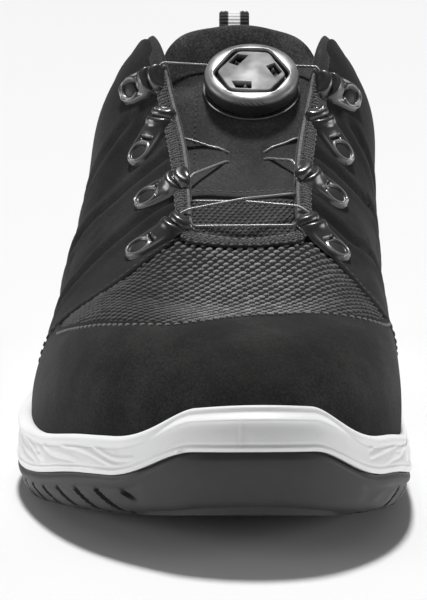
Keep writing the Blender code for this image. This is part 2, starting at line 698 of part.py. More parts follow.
def make_dial(plastic, metal):
    seat = dial_seat()
    matrix = axes_matrix(seat, (1, 0, 0), DIAL_AXIS)
    r, h = DIAL_RADIUS, DIAL_HEIGHT
    turned("dial_housing", [(0, 1.7), (r - 1.4, 1.7), (r + 0.2, 1.4), (r + 0.3, 0.95), (r - 3.4, 0.0), (0, 0.0)], matrix, plastic)
    turned("dial_knob", [(0, h - 1.2), (r - 4.5, h - 1.2), (r - 4.1, h), (r - 1.8, h - 0.5), (r - 0.5, h - 1.1),
                         (r, h - 2.6), (r - 0.3, 2.4), (r - 1.0, 1.7 + GAP), (0, 1.7 + GAP)], matrix, plastic)
    lifted = matrix @ Matrix.Translation((0, 0, (h - 1.2 + GAP + 0.4) / 1000))
    cap = cylinder("dial_cap", r - 5.2, 0.8, 6, lifted @ Matrix.Rotation(math.radians(30), 4, "Z"), metal, COLLECTION)
    bevel = cap.modifiers.new("edges", "BEVEL")
    bevel.width, bevel.segments, bevel.limit_method = 0.0003, 1, "ANGLE"
    return seat


# ---------------------------------------------------------------- wire lace
def throat_point(s, inside, lift):
    """A point beside the throat edge at section s: inside mm in from it, lifted off the upper."""
    edge = upper_point(s, 1.0)
    on = edge - upper_point(s, 0.985)
    return edge + on / np.linalg.norm(on) * inside + upper_normal(s, 0.99) * lift


def over_tongue(x, d, lift):
    line = np.array(TONGUE_LINE, float)
    return np.array([x, d, float(even_curve(line[:, 0], line[:, 1], d)) + lift])


# Lace ends on the throat edge: section on the outer side, on the inner side.
LACE_HIGH, LACE_MIDDLE = (6.88, 17.14), (7.42, 16.72)
LACE_LOW, LACE_FOOT, LACE_BAR = (8.02, 16.14), (8.34, 15.74), (8.92, 15.12)


def make_laces(look, seat):
    def pair(ends, inside=2.2, lift=0.6):
        return throat_point(ends[0], inside, lift), throat_point(ends[1], inside, lift)

    # Upper crossing: both wires dip to the keeper in the middle of the tongue.
    (a_out, a_in), (b_out, b_in) = pair(LACE_HIGH), pair(LACE_MIDDLE)
    knot = over_tongue(2.5, 0.25 * (a_out[1] + a_in[1] + b_out[1] + b_in[1]), 1.9)
    first = wire("lace_cross_upper", [a_out, knot, b_in], look)
    boolean(first, helper(wire("other", [a_in, knot + np.array([0, 0, 0.05]), b_out], look)), "UNION")
    # Lower crossing: straight runs that meet in the middle.
    (a_out, a_in), (b_out, b_in) = pair(LACE_LOW), pair(LACE_FOOT)
    knot = 0.25 * (a_out + a_in + b_out + b_in) + np.array([0, 0, 0.3])
    second = wire("lace_cross_lower", [a_out, knot, b_in], look)
    boolean(second, helper(wire("other", [a_in, knot + np.array([0, 0, 0.05]), b_out], look)), "UNION")
    a_out, a_in = pair(LACE_BAR)
    wire("lace_bar", [a_out, 0.5 * (a_out + a_in), a_in], look)
    # From the dial to the topmost guides.
    for name, s, side in (("lace_dial_outer", 5.74, -1), ("lace_dial_inner", 18.22, 1)):
        end = throat_point(s, 3.0, 2.6)
        start = seat + DIAL_AXIS * 1.3 + np.array([side * (DIAL_RADIUS + 1.2), 3.0 * math.cos(DIAL_TILT), 3.0 * math.sin(DIAL_TILT)])
        wire(name, [start, 0.5 * (start + end) + np.array([0, 0, 0.3]), end], look)


# ---------------------------------------------------------------- heel loop
# The webbing's middle line over the back of the collar: distance back, height.
LOOP_LINE = [(289.9, 77.0), (288.4, 86.0), (287.2, 94.0), (286.6, 101.0), (285.0, 107.6), (281.6, 111.0),
             (278.2, 108.2), (276.8, 102.5), (276.5, 96.5), (276.4, 90.0)]


def make_loop(look):
    line = np.array([(0.0, d, z) for d, z in LOOP_LINE])
    run = open_curve(line, np.linspace(0, 1, 22))
    grid = np.stack([run + np.array([x, 0, 0]) for x in np.linspace(-LOOP_WIDTH / 2, LOOP_WIDTH / 2, 3)], axis=1)
    return sheet("pull_loop", grid, look, LOOP_THICK, 0)


def main():
    clear_scene()
    textile = material("upper_textile", (0.018, 0.018, 0.019), 0.85)
    lining = material("tongue_fabric", (0.020, 0.020, 0.022), 0.9)
    foam = material("midsole_foam", (0.80, 0.80, 0.80), 0.55)
    rubber = material("outsole_rubber", (0.035, 0.035, 0.036), 0.6)
    footbed = material("insole_fabric", (0.03, 0.03, 0.032), 0.95)
    plastic = material("guide_plastic", (0.012, 0.012, 0.013), 0.22)
    cover = material("dial_cover", (0.30, 0.30, 0.31), 0.25, 0.8)
    steel = material("lace_wire", (0.10, 0.10, 0.105), 0.35, 0.7)
    webbing = material("loop_webbing", (0.10, 0.10, 0.10), 0.8)
    make_outsole(rubber)
    make_midsole(foam)
    make_insole(footbed)
    make_upper(textile)
    make_tongue(lining)
    for name, *ends in GUIDES:
        make_guide(name, *ends, plastic)
    seat = make_dial(plastic, cover)
    make_laces(steel, seat)
    make_loop(webbing)


main()
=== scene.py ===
"""Looks of the low safety shoe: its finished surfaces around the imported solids.

Working sizes are millimetres in the last's own frame, as in the part's source: x towards
the inner (medial) side, d backwards from the toe tip, z up from the floor. place() turns
them into the part's metres.
"""

import math

import bmesh
import bpy
import numpy as np
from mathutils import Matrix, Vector, kdtree


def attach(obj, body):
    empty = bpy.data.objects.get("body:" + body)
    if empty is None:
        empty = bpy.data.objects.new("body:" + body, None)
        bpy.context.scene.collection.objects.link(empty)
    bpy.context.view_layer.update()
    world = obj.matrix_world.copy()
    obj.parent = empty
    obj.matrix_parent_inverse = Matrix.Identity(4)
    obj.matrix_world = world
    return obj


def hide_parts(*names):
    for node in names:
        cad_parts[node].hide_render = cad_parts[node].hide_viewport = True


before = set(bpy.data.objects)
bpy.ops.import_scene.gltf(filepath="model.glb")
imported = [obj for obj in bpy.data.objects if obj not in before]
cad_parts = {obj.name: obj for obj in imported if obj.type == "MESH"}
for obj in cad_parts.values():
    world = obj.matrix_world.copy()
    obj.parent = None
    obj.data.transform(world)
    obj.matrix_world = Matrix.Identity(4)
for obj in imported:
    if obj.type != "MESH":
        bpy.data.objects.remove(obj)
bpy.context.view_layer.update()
RANDOM = np.random.default_rng(11)

# ---------------------------------------------------------------- driving sizes (mm), as in the part
SOLE_LENGTH = 295.0
AXIS_TO_MIDDLE = -7.35
UPPER_INSET = 4.2
WALL = 2.8
COLLAR_WALL = 7.6
RIM = 2.3
GAP = 0.35
OUTSOLE_WALL = 2.8
BUMPER_WALL = 1.5
OUTSOLE_FLOOR = 5.6
TREAD_DEPTH = 3.4
INSOLE_THICK = 4.0
TONGUE_THICK = 6.0
TOE_BUMPER = 8.8
TOE_RIM = 11.0
DIAL_RADIUS = 14.3
DIAL_HEIGHT = 10.0
DIAL_TILT = math.radians(31.0)
GUIDE_WIDTH = 9.4
WIRE = 0.42
LOOP_WIDTH = 10.0
LOOP_THICK = 1.6

# A row for each section round the shoe: sole outline, two points up the upper, its top line.
LAST = [
    ("heel",  0.0, 295.0,   0.0, 291.5, 56.0,   0.0, 288.0, 80.0,   0.0, 284.5,  97.0),
    ("o1",  -21.5, 288.5, -21.0, 286.5, 56.0, -19.0, 283.0, 80.0, -17.0, 280.5,  95.5),
    ("o2",  -36.5, 267.0, -35.0, 265.5, 56.0, -32.5, 264.5, 76.0, -29.0, 263.0,  88.5),
    ("o3",  -41.5, 240.0, -40.0, 240.0, 56.0, -38.0, 240.0, 72.0, -34.0, 240.0,  83.5),
    ("o4", -43.5, 210.0, -42.4, 212.0,  58.0, -41.2, 214.0,  80.0, -35.0, 217.0,  92.0),
    ("o5", -46.5, 180.0, -44.4, 186.0,  64.0, -38.9, 192.0,  95.0, -27.5, 194.0, 114.0),
    ("o6", -52.0, 150.0, -47.3, 156.0,  60.0, -35.0, 164.0,  80.5, -21.0, 172.0, 101.5),
    ("o7", -59.0, 120.0, -50.0, 126.0,  49.0, -34.6, 135.0,  68.0, -16.5, 145.0,  86.5),
    ("o8", -62.8,  90.0, -50.6,  94.0,  44.5, -34.6, 106.0,  58.0, -15.0, 121.0,  75.0),
    ("o9",  -56.5,  56.0, -45.5,  66.0, 50.0, -30.0,  88.0, 59.0, -13.5, 110.0,  68.5),
    ("o10", -40.5,  25.0, -33.0,  36.0, 53.0, -20.0,  70.0, 58.0,  -8.0, 107.3,  67.3),
    ("o11", -18.0,   5.5, -14.5,  21.0, 54.0,  -8.0,  57.0, 57.5,  -3.0, 106.5,  66.8),
    ("toe",   4.0,   0.0,   3.5,  17.5, 54.5,   2.5,  52.0, 57.3,   2.0, 106.3,  66.7),
    ("i11",  23.0,   5.0,  20.0,  22.0, 54.0,  12.0,  57.0, 57.3,   7.0, 106.5,  66.8),
    ("i10",  38.0,  21.0,  31.5,  36.0, 52.5,  21.0,  68.0, 58.0,  12.0, 107.3,  67.3),
    ("i9",   46.5,  48.0,  40.0,  60.0, 49.5,  29.0,  86.0, 59.0,  17.5, 110.0,  68.5),
    ("i8",  48.2,  80.0,  42.6,  86.0,  46.0,  34.5, 104.0,  58.0,  18.5, 121.0,  75.0),
    ("i7",  46.4, 110.0,  41.8, 118.0,  48.0,  34.7, 133.0,  68.0,  19.5, 145.0,  86.5),
    ("i6",  43.0, 142.0,  41.4, 150.0,  56.0,  35.5, 163.0,  81.0,  23.5, 172.0, 101.5),
    ("i5",  41.0, 175.0,  40.3, 184.0,  62.0,  40.0, 192.0,  94.0,  29.0, 194.0, 114.0),
    ("i4",  40.0, 207.0,  40.4, 211.0,  58.0,  40.0, 214.0,  80.0,  35.0, 217.0,  92.0),
    ("i3",   39.5, 238.0,  39.0, 239.0, 56.0,  37.5, 240.0, 72.0,  34.0, 240.0,  83.5),
    ("i2",   35.5, 266.5,  34.5, 265.0, 56.0,  32.0, 264.0, 76.0,  28.5, 262.5,  88.5),
    ("i1",   21.0, 288.5,  20.5, 286.5, 56.0,  18.5, 283.0, 80.0,  16.5, 280.5,  95.5),
]
# A row for each station along the sole: d, tread, inner floor, rubber's edge, rim.
SOLE = [
    (0, 16.5, 26.0, 23.5, 33.5), (10, 12.8, 24.0, 22.5, 33.0), (28, 8.8, 20.5, 19.5, 30.0),
    (55, 3.6, 17.0, 12.6, 24.0), (70, 0.9, 15.9, 10.0, 22.4), (78, 0.0, 15.3, 9.2, 21.8),
    (130, 0.0, 17.0, 8.8, 24.0), (150, 1.5, 19.6, 10.2, 26.5), (175, 3.5, 23.5, 12.0, 30.0),
    (200, 1.5, 27.0, 10.4, 33.5), (215, 0.0, 28.5, 9.4, 35.5), (280, 0.0, 30.0, 9.6, 39.5),
    (288, 1.5, 30.0, 10.2, 40.5), (295, 5.0, 30.0, 11.5, 41.0),
]
TONGUE_LINE = [(88, 54.5), (98, 58.5), (106, 62.0), (121, 70.5), (145, 83.0),
               (160, 91.0), (170, 97.0), (180, 107.0), (188, 119.3)]
# Section of the outer edge, of the inner edge, shares up of the hidden border and of the throat edge.
TONGUE_ROWS = [
    (9.70, 14.30, 0.780, 0.830), (9.45, 14.55, 0.830, 0.900), (9.10, 14.90, 0.850, 0.950),
    (8.50, 15.50, 0.850, 0.965), (7.90, 16.10, 0.860, 0.970), (7.20, 16.80, 0.870, 0.975),
    (6.60, 17.40, 0.880, 0.975), (6.10, 17.90, 0.890, 0.975), (5.72, 18.28, 0.900, 0.975),
    (5.45, 18.55, 0.930, 0.985),
]
# Lace guides: place on the upper (section, share of the way up) of the throat end and of the foot.
GUIDES = [   # name; section and share up at the throat edge and at the tip; mm past the edge
    ("lace_guide_outer_1", 5.86, 0.995, 5.44, 0.815, 1.2), ("lace_guide_outer_2", 6.30, 0.995, 6.40, 0.785, 0.2),
    ("lace_guide_outer_3", 7.52, 0.995, 7.14, 0.772, 3.0), ("lace_guide_outer_4", 8.46, 0.995, 7.92, 0.702, 0.8),
    ("lace_guide_inner_1", 18.06, 0.995, 18.54, 0.800, 1.0), ("lace_guide_inner_2", 17.66, 0.995, 17.68, 0.775, 0.8),
    ("lace_guide_inner_3", 16.60, 0.995, 16.88, 0.770, 3.0), ("lace_guide_inner_4", 15.58, 0.995, 15.84, 0.742, 1.0),
]
LOOP_LINE = [(289.9, 77.0), (288.4, 86.0), (287.2, 94.0), (286.6, 101.0), (285.0, 107.6), (281.6, 111.0),
             (278.2, 108.2), (276.8, 102.5), (276.5, 96.5), (276.4, 90.0)]

# ---------------------------------------------------------------- seams on the upper: (section, share up)
CAP_SEAM = [(7.0, 0.33), (8.0, 0.375), (8.5, 0.400), (9.0, 0.415), (9.5, 0.412), (10.04, 0.402), (10.58, 0.405),
            (11.04, 0.447), (11.54, 0.512), (12.34, 0.552), (13.12, 0.545), (13.74, 0.512), (14.34, 0.475),
            (15.0, 0.458), (15.6, 0.452), (17.0, 0.40)]
FRONT_OUTER = [(7.45, 0.0), (7.55, 0.12), (7.70, 0.25), (7.86, 0.34), (8.00, 0.40), (8.20, 0.463), (8.40, 0.537),
               (8.50, 0.62), (8.54, 0.717), (8.70, 0.86), (8.92, 0.97), (8.98, 1.0)]
FRONT_INNER = [(16.45, 0.0), (16.35, 0.12), (16.12, 0.25), (15.86, 0.34), (15.66, 0.42), (15.54, 0.50), (15.52, 0.593),
               (15.58, 0.69), (15.50, 0.823), (15.30, 0.927), (15.08, 0.97), (15.02, 1.0)]
# Troughs between the quarter's bands: depth, half width, then the line.
BANDS_OUTER = [
    (1.0, 1.5, [(5.76, 0.80), (5.70, 0.717), (5.66, 0.65), (5.58, 0.50), (5.52, 0.34), (5.50, 0.20)]),
    (1.3, 1.7, [(6.92, 0.985), (6.76, 0.857), (6.62, 0.74), (6.52, 0.64), (6.42, 0.55), (6.36, 0.40), (6.36, 0.22)]),
    (1.3, 1.7, [(7.78, 0.99), (7.56, 0.887), (7.44, 0.79), (7.38, 0.697), (7.34, 0.593), (7.32, 0.48), (7.22, 0.34), (7.1, 0.22)]),
]
BANDS_INNER = [
    (1.0, 1.5, [(18.22, 0.80), (18.28, 0.717), (18.34, 0.65), (18.44, 0.50), (18.50, 0.34), (18.52, 0.20)]),
    (1.3, 1.7, [(17.10, 0.985), (17.28, 0.857), (17.46, 0.74), (17.66, 0.65), (17.90, 0.563), (18.0, 0.40), (18.0, 0.22)]),
    (1.3, 1.7, [(16.14, 0.98), (16.32, 0.84), (16.44, 0.723), (16.66, 0.63), (16.86, 0.55), (16.96, 0.38), (17.0, 0.22)]),
]
# Short pressed dashes beside the troughs.
DASHES_OUTER = [
    [(6.48, 0.505), (6.54, 0.475)], [(6.60, 0.460), (6.68, 0.435)], [(6.76, 0.44), (6.84, 0.415)],
    [(7.10, 0.60), (7.11, 0.55)], [(7.12, 0.52), (7.13, 0.48)], [(6.86, 0.62), (6.88, 0.58)], [(6.20, 0.64), (6.18, 0.60)],
]
DASHES_INNER = [
    [(17.52, 0.505), (17.46, 0.475)], [(17.40, 0.460), (17.32, 0.435)], [(17.24, 0.44), (17.16, 0.415)],
    [(16.96, 0.62), (17.0, 0.58)], [(17.80, 0.64), (17.82, 0.60)],
]


# ---------------------------------------------------------------- curves through the tables
def smooth_step(low, high, x):
    t = np.clip((x - low) / (high - low), 0, 1)
    return t * t * (3 - 2 * t)


def bump(x, middle, half):
    """A soft round hump, 1 at the middle and gone at twice the half width."""
    return np.exp(-((x - middle) / half) ** 2)


def hermite(t, a, b, slope_a, slope_b):
    return ((1 + 2 * t) * (1 - t) ** 2 * a + t * (1 - t) ** 2 * slope_a
            + t * t * (3 - 2 * t) * b + t * t * (t - 1) * slope_b)


def even_curve(x, y, at):
    """A curve through the points that never overshoots them."""
    x, y, at = (np.asarray(v, float) for v in (x, y, at))
    step = np.diff(x)
    rise = np.diff(y) / step
    slope = np.zeros_like(y)
    for i in range(1, len(x) - 1):
        if rise[i - 1] * rise[i] > 0:
            before, after = 2 * step[i] + step[i - 1], step[i] + 2 * step[i - 1]
            slope[i] = (before + after) / (before / rise[i - 1] + after / rise[i])
    slope[0], slope[-1] = rise[0], rise[-1]
    k = np.clip(np.searchsorted(x, at) - 1, 0, len(x) - 2)
    t = np.clip((at - x[k]) / step[k], 0, 1)
    return hermite(t, y[k], y[k + 1], step[k] * slope[k], step[k] * slope[k + 1])


def closed_curve(rows, at):
    rows, n = np.asarray(rows, float), len(rows)
    matrix = 4 * np.eye(n) + np.roll(np.eye(n), 1, 0) + np.roll(np.eye(n), -1, 0)
    slope = np.linalg.solve(matrix, 3 * (np.roll(rows, -1, 0) - np.roll(rows, 1, 0)))
    at = np.asarray(at, float) % n
    k = np.floor(at).astype(int) % n
    t, j = (at - np.floor(at))[:, None], (k + 1) % n
    return hermite(t, rows[k], rows[j], slope[k], slope[j])


def open_curve(points, at):
    """A smooth curve through points (k, m), read at shares 0 to 1 of its length."""
    points = np.asarray(points, float)
    x = np.concatenate([[0], np.cumsum(np.linalg.norm(np.diff(points, axis=0), axis=1))])
    x /= x[-1]
    k, h = len(points), np.diff(x)
    matrix, right = np.zeros((k, k)), np.zeros_like(points)
    matrix[0, :2], matrix[-1, -2:] = (2, 1), (1, 2)
    right[0], right[-1] = 3 * (points[1] - points[0]) / h[0], 3 * (points[-1] - points[-2]) / h[-1]
    for i in range(1, k - 1):
        matrix[i, i - 1:i + 2] = h[i], 2 * (h[i] + h[i - 1]), h[i - 1]
        right[i] = 3 * (h[i] * (points[i] - points[i - 1]) / h[i - 1]
                        + h[i - 1] * (points[i + 1] - points[i]) / h[i])
    slope = np.linalg.solve(matrix, right)
    at = np.asarray(at, float)
    i = np.clip(np.searchsorted(x, at, side="right") - 1, 0, k - 2)
    t, w = ((at - x[i]) / h[i])[:, None], h[i][:, None]
    return hermite(t, points[i], points[i + 1], w * slope[i], w * slope[i + 1])


LAST_ROWS = np.array([row[1:] for row in LAST])
SECTIONS = len(LAST)
SOLE_ROWS = np.array(SOLE, float)


def sole_height(column, d):
    return even_curve(SOLE_ROWS[:, 0], SOLE_ROWS[:, column], np.clip(d, 0, SOLE_LENGTH))


def toe_rise(x, d):
    return (smooth_step(-31, -16, x) * (1 - smooth_step(24, 37, x))
            * (1 - smooth_step(30, 60, d)))


def tread_z(x, d):
    return sole_height(1, d)


def floor_z(x, d):
    return sole_height(2, d)


def toe_sweep(x, d, sag):
    """The rise of the toe's guard with its ends swept down in soft curves."""
    return (smooth_step(-35.5, -12.5, x) * (1 - smooth_step(19.5, 39, x)) * (1 - smooth_step(30, 60, d))
            * (1 - sag * ((x - 5) / 24) ** 2))


def rubber_z(x, d):
    return sole_height(3, d) + TOE_BUMPER * toe_sweep(x, d, 0.10)


def rim_z(x, d):
    return sole_height(4, d) + (TOE_RIM - 0.4) * toe_sweep(x, d, 0.22)


def outline(s):
    """Points (n, 2) of the sole's outline at sections s, and the outward directions."""
    here = closed_curve(LAST_ROWS[:, :2], s)
    along = closed_curve(LAST_ROWS[:, :2], np.asarray(s) + 1e-3) - closed_curve(LAST_ROWS[:, :2], np.asarray(s) - 1e-3)
    out = np.stack([along[:, 1], -along[:, 0]], 1)
    out /= np.linalg.norm(out, axis=1)[:, None]
    if np.sum(out * (here - here.mean(0))) < 0:
        out = -out
    return here, out


def rubber_wall(x, d):
    return OUTSOLE_WALL - (OUTSOLE_WALL - BUMPER_WALL) * toe_rise(x, d)


def cup_z(x, d):
    low = tread_z(x, d) + OUTSOLE_FLOOR
    return low + np.maximum(0.4, 0.25 * (rubber_z(x, d) - low))


def drawn_in(s):
    """Where the outer side of the forefoot is drawn in above the midsole's rim."""
    return smooth_step(6.0, 7.2, s) * (1 - smooth_step(8.3, 9.3, s))


def upper_table(per_section=80, steps=321):
    """The upper's form and outward normals on a fine grid of sections and shares up."""
    s, t = np.arange(SECTIONS * per_section) / per_section, np.linspace(0, 1, steps)
    here, out = outline(s)
    floor = floor_z(here[:, 0], here[:, 1]) + GAP
    rows = closed_curve(LAST_ROWS[:, 2:], s)
    points = []
    for k in range(len(s)):
        low, high, top = rows[k, 0:3], rows[k, 3:6], rows[k, 6:9]
        foot = np.append(here[k] - out[k] * (UPPER_INSET + 0.9 * drawn_in(s[k])), floor[k])
        wall = np.append(here[k] - out[k] * (UPPER_INSET - 0.4 + 1.7 * drawn_in(s[k])), min(0.5 * (floor[k] + low[2]), floor[k] + 13))
        points.append(open_curve([foot, wall, low, high, top], t))
    points = np.stack(points)
    across = np.roll(points, -1, 0) - np.roll(points, 1, 0)
    normals = np.cross(across, np.gradient(points, axis=1))
    return points, normals / np.linalg.norm(normals, axis=2)[..., None]


PER_SECTION, STEPS = 80, 321
FORM, OUT = upper_table(PER_SECTION, STEPS)


def on(s, t, lift=0.0):
    """Points on the upper at sections s and shares t, lifted outwards by lift mm."""
    s, t, lift = np.broadcast_arrays(*(np.asarray(v, float) for v in (s, t, lift)))
    a = (s % SECTIONS) * PER_SECTION
    i = np.floor(a).astype(int)
    f, j = (a - i)[..., None], (i + 1) % len(FORM)
    i = i % len(FORM)
    b = np.clip(t, 0, 1) * (STEPS - 1)
    k = np.minimum(np.floor(b).astype(int), STEPS - 2)
    g = (b - k)[..., None]

    def read(table):
        return (table[i, k] * (1 - f) * (1 - g) + table[j, k] * f * (1 - g)
                + table[i, k + 1] * (1 - f) * g + table[j, k + 1] * f * g)

    point, normal = read(FORM), read(OUT)
    normal /= np.linalg.norm(normal, axis=-1)[..., None]
    past = (t - np.clip(t, 0, 1))[..., None]
    if np.any(past):
        up = read(np.gradient(FORM, axis=1)) * (STEPS - 1)
        point = point + up * past
    return point + normal * lift[..., None]


def out_at(s, t):
    return on(s, t, 1.0) - on(s, t, 0.0)


def wall_thickness(s, t):
    s = np.asarray(s, float) % SECTIONS
    from_heel = np.minimum(s, SECTIONS - s)
    padded = 1 - smooth_step(5.0, 5.9, from_heel)
    shape = smooth_step(0.5, 0.8, t) * (1 - 0.45 * smooth_step(0.93, 1.0, t))
    return WALL + (COLLAR_WALL - WALL) * padded * shape


def along_line(line, spacing=1.0):
    """Sections and shares along a line of (section, share) rows, about spacing mm apart."""
    line = np.asarray(line, float)
    fine = np.column_stack([even_curve(np.arange(len(line)), line[:, c], np.linspace(0, len(line) - 1, 40 * len(line))) for c in (0, 1)]) \
        if len(line) > 2 else line[0] + (line[1] - line[0]) * np.linspace(0, 1, 40)[:, None]
    p = on(fine[:, 0], fine[:, 1])
    run = np.concatenate([[0], np.cumsum(np.linalg.norm(np.diff(p, axis=0), axis=1))])
    at = np.linspace(0, run[-1], max(2, int(round(run[-1] / spacing)) + 1))
    return np.interp(at, run, fine[:, 0]), np.interp(at, run, fine[:, 1])


def away_from(points, line):
    """Distance of points (..., 3) from a polyline (k, 3)."""
    flat = points.reshape(-1, 3)
    best = np.full(len(flat), 1e9)
    for a, b in zip(line[:-1], line[1:]):
        ab = b - a
        share = np.clip((flat - a) @ ab / max(ab @ ab, 1e-12), 0, 1)
        best = np.minimum(best, np.linalg.norm(flat - a - share[:, None] * ab, axis=1))
    return best.reshape(points.shape[:-1])
SLITS = ((-2.6, 149.8, 146.7), (8.5, 149.8, 147.4))   # where the wire goes in under the tongue's cover: x; d of the upper and lower wire


# ---------------------------------------------------------------- making pieces
def place(p):
    """Working millimetres to the part's frame in metres."""
    p = np.asarray(p, float).reshape(-1, 3)
    return np.column_stack([p[:, 0] - AXIS_TO_MIDDLE, p[:, 1] - SOLE_LENGTH / 2, p[:, 2]]) / 1000


def unit(v):
    v = np.asarray(v, float)
    return v / np.maximum(np.linalg.norm(v, axis=-1), 1e-12)[..., None]


def grid_faces(rows, columns, around=False, first=0):
    r, c = np.meshgrid(np.arange(rows - 1), np.arange(columns if around else columns - 1), indexing="ij")
    k = (c + 1) % columns
    return (first + np.stack([r * columns + c, r * columns + k, (r + 1) * columns + k, (r + 1) * columns + c], -1)).reshape(-1, 4).tolist()


class Heap:
    """Points and faces of many small things, made one mesh."""

    def __init__(self):
        self.points, self.faces, self.count = [], [], 0

    def add(self, points, faces):
        points = np.asarray(points, float).reshape(-1, 3)
        self.points.append(points)
        n = self.count
        self.faces += [[i + n for i in face] for face in faces]
        self.count += len(points)


def piece(name, points, faces, look, slot, nodes=(), sharp=None, uv=None, values=None, solid=True):
    """A finished piece: mesh, material, and what it rides on and stands for."""
    mesh = bpy.data.meshes.new(name)
    mesh.from_pydata(place(points), [], faces)
    if values:
        for key, numbers in values.items():
            mesh.attributes.new(key, "FLOAT", "POINT").data.foreach_set("value", np.asarray(numbers, np.float32).ravel())
    if uv is not None:
        layer = mesh.uv_layers.new(name="weave")
        corner = np.empty(len(mesh.loops), np.int32)
        mesh.loops.foreach_get("vertex_index", corner)
        layer.data.foreach_set("uv", np.asarray(uv, np.float32).reshape(-1, 2)[corner].ravel())
    if solid:
        bm = bmesh.new()
        bm.from_mesh(mesh)
        bmesh.ops.recalc_face_normals(bm, faces=bm.faces)
        bm.to_mesh(mesh)
        bm.free()
    mesh.materials.append(look)
    mesh.shade_smooth()
    if sharp:
        mesh.set_sharp_from_angle(angle=math.radians(sharp))
    obj = bpy.data.objects.new(name, mesh)
    bpy.context.scene.collection.objects.link(obj)
    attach(obj, "root")
    if nodes:
        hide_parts(*nodes)
    return obj


def heap_piece(name, heap, look, slot, nodes=(), sharp=None, solid=True):
    return piece(name, np.concatenate(heap.points), heap.faces, look, slot, nodes, sharp, solid=solid)


def shell(top, bottom, around=False):
    """Points and faces of a closed sheet between two grids (rows, columns, 3)."""
    rows, columns = top.shape[:2]
    n = rows * columns
    faces = grid_faces(rows, columns, around) + [f[::-1] for f in grid_faces(rows, columns, around, n)]
    index = np.arange(n).reshape(rows, columns)
    edges = [index[0], index[-1][::-1]] if around else [np.concatenate([index[0], index[1:, -1], index[-1, -2::-1], index[-2:0:-1, 0]])]
    for edge in edges:
        closed = np.append(edge, edge[0])
        faces += [[a, a + n, b + n, b] for a, b in zip(closed[:-1].tolist(), closed[1:].tolist())]
    return np.concatenate([top.reshape(-1, 3), bottom.reshape(-1, 3)]), faces


def grid_normals(grid, around=False):
    if around:
        across = np.roll(grid, -1, 1) - np.roll(grid, 1, 1)
    else:
        across = np.gradient(grid, axis=1)
    return unit(np.cross(across, np.gradient(grid, axis=0)))


def frames(points, hint=(0, 0, 1), closed=False):
    """Directions along a polyline, and two directions across it carried along without twist."""
    points = np.asarray(points, float)
    if closed:
        along = unit(np.roll(points, -1, 0) - np.roll(points, 1, 0))
    else:
        along = unit(np.gradient(points, axis=0))
    side = np.zeros_like(points)
    first = np.asarray(hint, float)
    if abs(first @ along[0]) > 0.95:
        first = np.array([1.0, 0, 0])
    side[0] = unit(first - along[0] * (first @ along[0]))
    for i in range(1, len(points)):
        v = side[i - 1] - along[i] * (side[i - 1] @ along[i])
        side[i] = unit(v)
    return along, side, np.cross(along, side)


def tube(points, radius, sides=8, closed=False, flat=1.0):
    """Points and faces of a round bar along a polyline; radius may vary along it."""
    points = np.asarray(points, float)
    _, a, b = frames(points, closed=closed)
    radius = np.broadcast_to(np.asarray(radius, float), (len(points),))
    angle = 2 * np.pi * np.arange(sides) / sides
    rings = points[:, None] + radius[:, None, None] * (np.cos(angle)[None, :, None] * a[:, None] * flat + np.sin(angle)[None, :, None] * b[:, None])
    n = len(points)
    faces = grid_faces(n, sides, True)
    if closed:
        last = (n - 1) * sides
        faces += [[last + i, last + (i + 1) % sides, (i + 1) % sides, i] for i in range(sides)]
    else:
        faces += [list(range(sides)), list(range((n - 1) * sides, n * sides))[::-1]]
    return rings.reshape(-1, 3), faces


def many(base, base_faces, origins, x_axes, y_axes, z_axes):
    """Copies of a base shape (k, 3) at origins, each with its own scaled axes."""
    points = (origins[:, None] + base[None, :, 0:1] * x_axes[:, None] + base[None, :, 1:2] * y_axes[:, None] + base[None, :, 2:3] * z_axes[:, None])
    k = len(base)
    shift = np.arange(len(origins)) * k
    faces = []
    for face in base_faces:
        faces.append(np.asarray(face)[None, :] + shift[:, None])
    return points.reshape(-1, 3), [f for rows in faces for f in rows.tolist()]


def capsule(sides=6):
    """A thread stitch along x, unit length and unit radius, tapered at its ends."""
    rows = [(-0.5, 0.0), (-0.46, 0.55), (-0.30, 0.95), (0.0, 1.0), (0.30, 0.95), (0.46, 0.55), (0.5, 0.0)]
    points, faces = [(rows[0][0], 0, 0)], []
    for x, r in rows[1:-1]:
        points += [(x, r * math.cos(2 * math.pi * i / sides), r * math.sin(2 * math.pi * i / sides)) for i in range(sides)]
    points.append((rows[-1][0], 0, 0))
    last = len(points) - 1
    for i in range(sides):
        j = (i + 1) % sides
        faces.append((0, 1 + j, 1 + i))
        faces.append((last, last - sides + i, last - sides + j))
    quads = []
    for r in range(len(rows) - 3):
        for i in range(sides):
            j = (i + 1) % sides
            quads.append((1 + r * sides + i, 1 + r * sides + j, 1 + (r + 1) * sides + j, 1 + (r + 1) * sides + i))
    return np.array(points), faces + quads


CAPSULE = capsule()


def stitch_row(heap, points, normals, length=1.9, gap=0.9, radius=0.32, height=0.15, start=0.0):
    """Thread stitches along a line on a surface."""
    run = np.concatenate([[0], np.cumsum(np.linalg.norm(np.diff(points, axis=0), axis=1))])
    at = np.arange(start + length / 2, run[-1] - length / 2, length + gap)
    if len(at) == 0:
        return

    def read(table, where):
        return np.column_stack([np.interp(where, run, table[:, c]) for c in range(3)])

    middle, normal = read(points, at), unit(read(normals, at))
    along = unit(read(points, at + length / 2) - read(points, at - length / 2))
    side = np.cross(normal, along)
    copies = many(CAPSULE[0], CAPSULE[1], middle + normal * height, along * length, side * radius, normal * radius)
    heap.add(*copies)


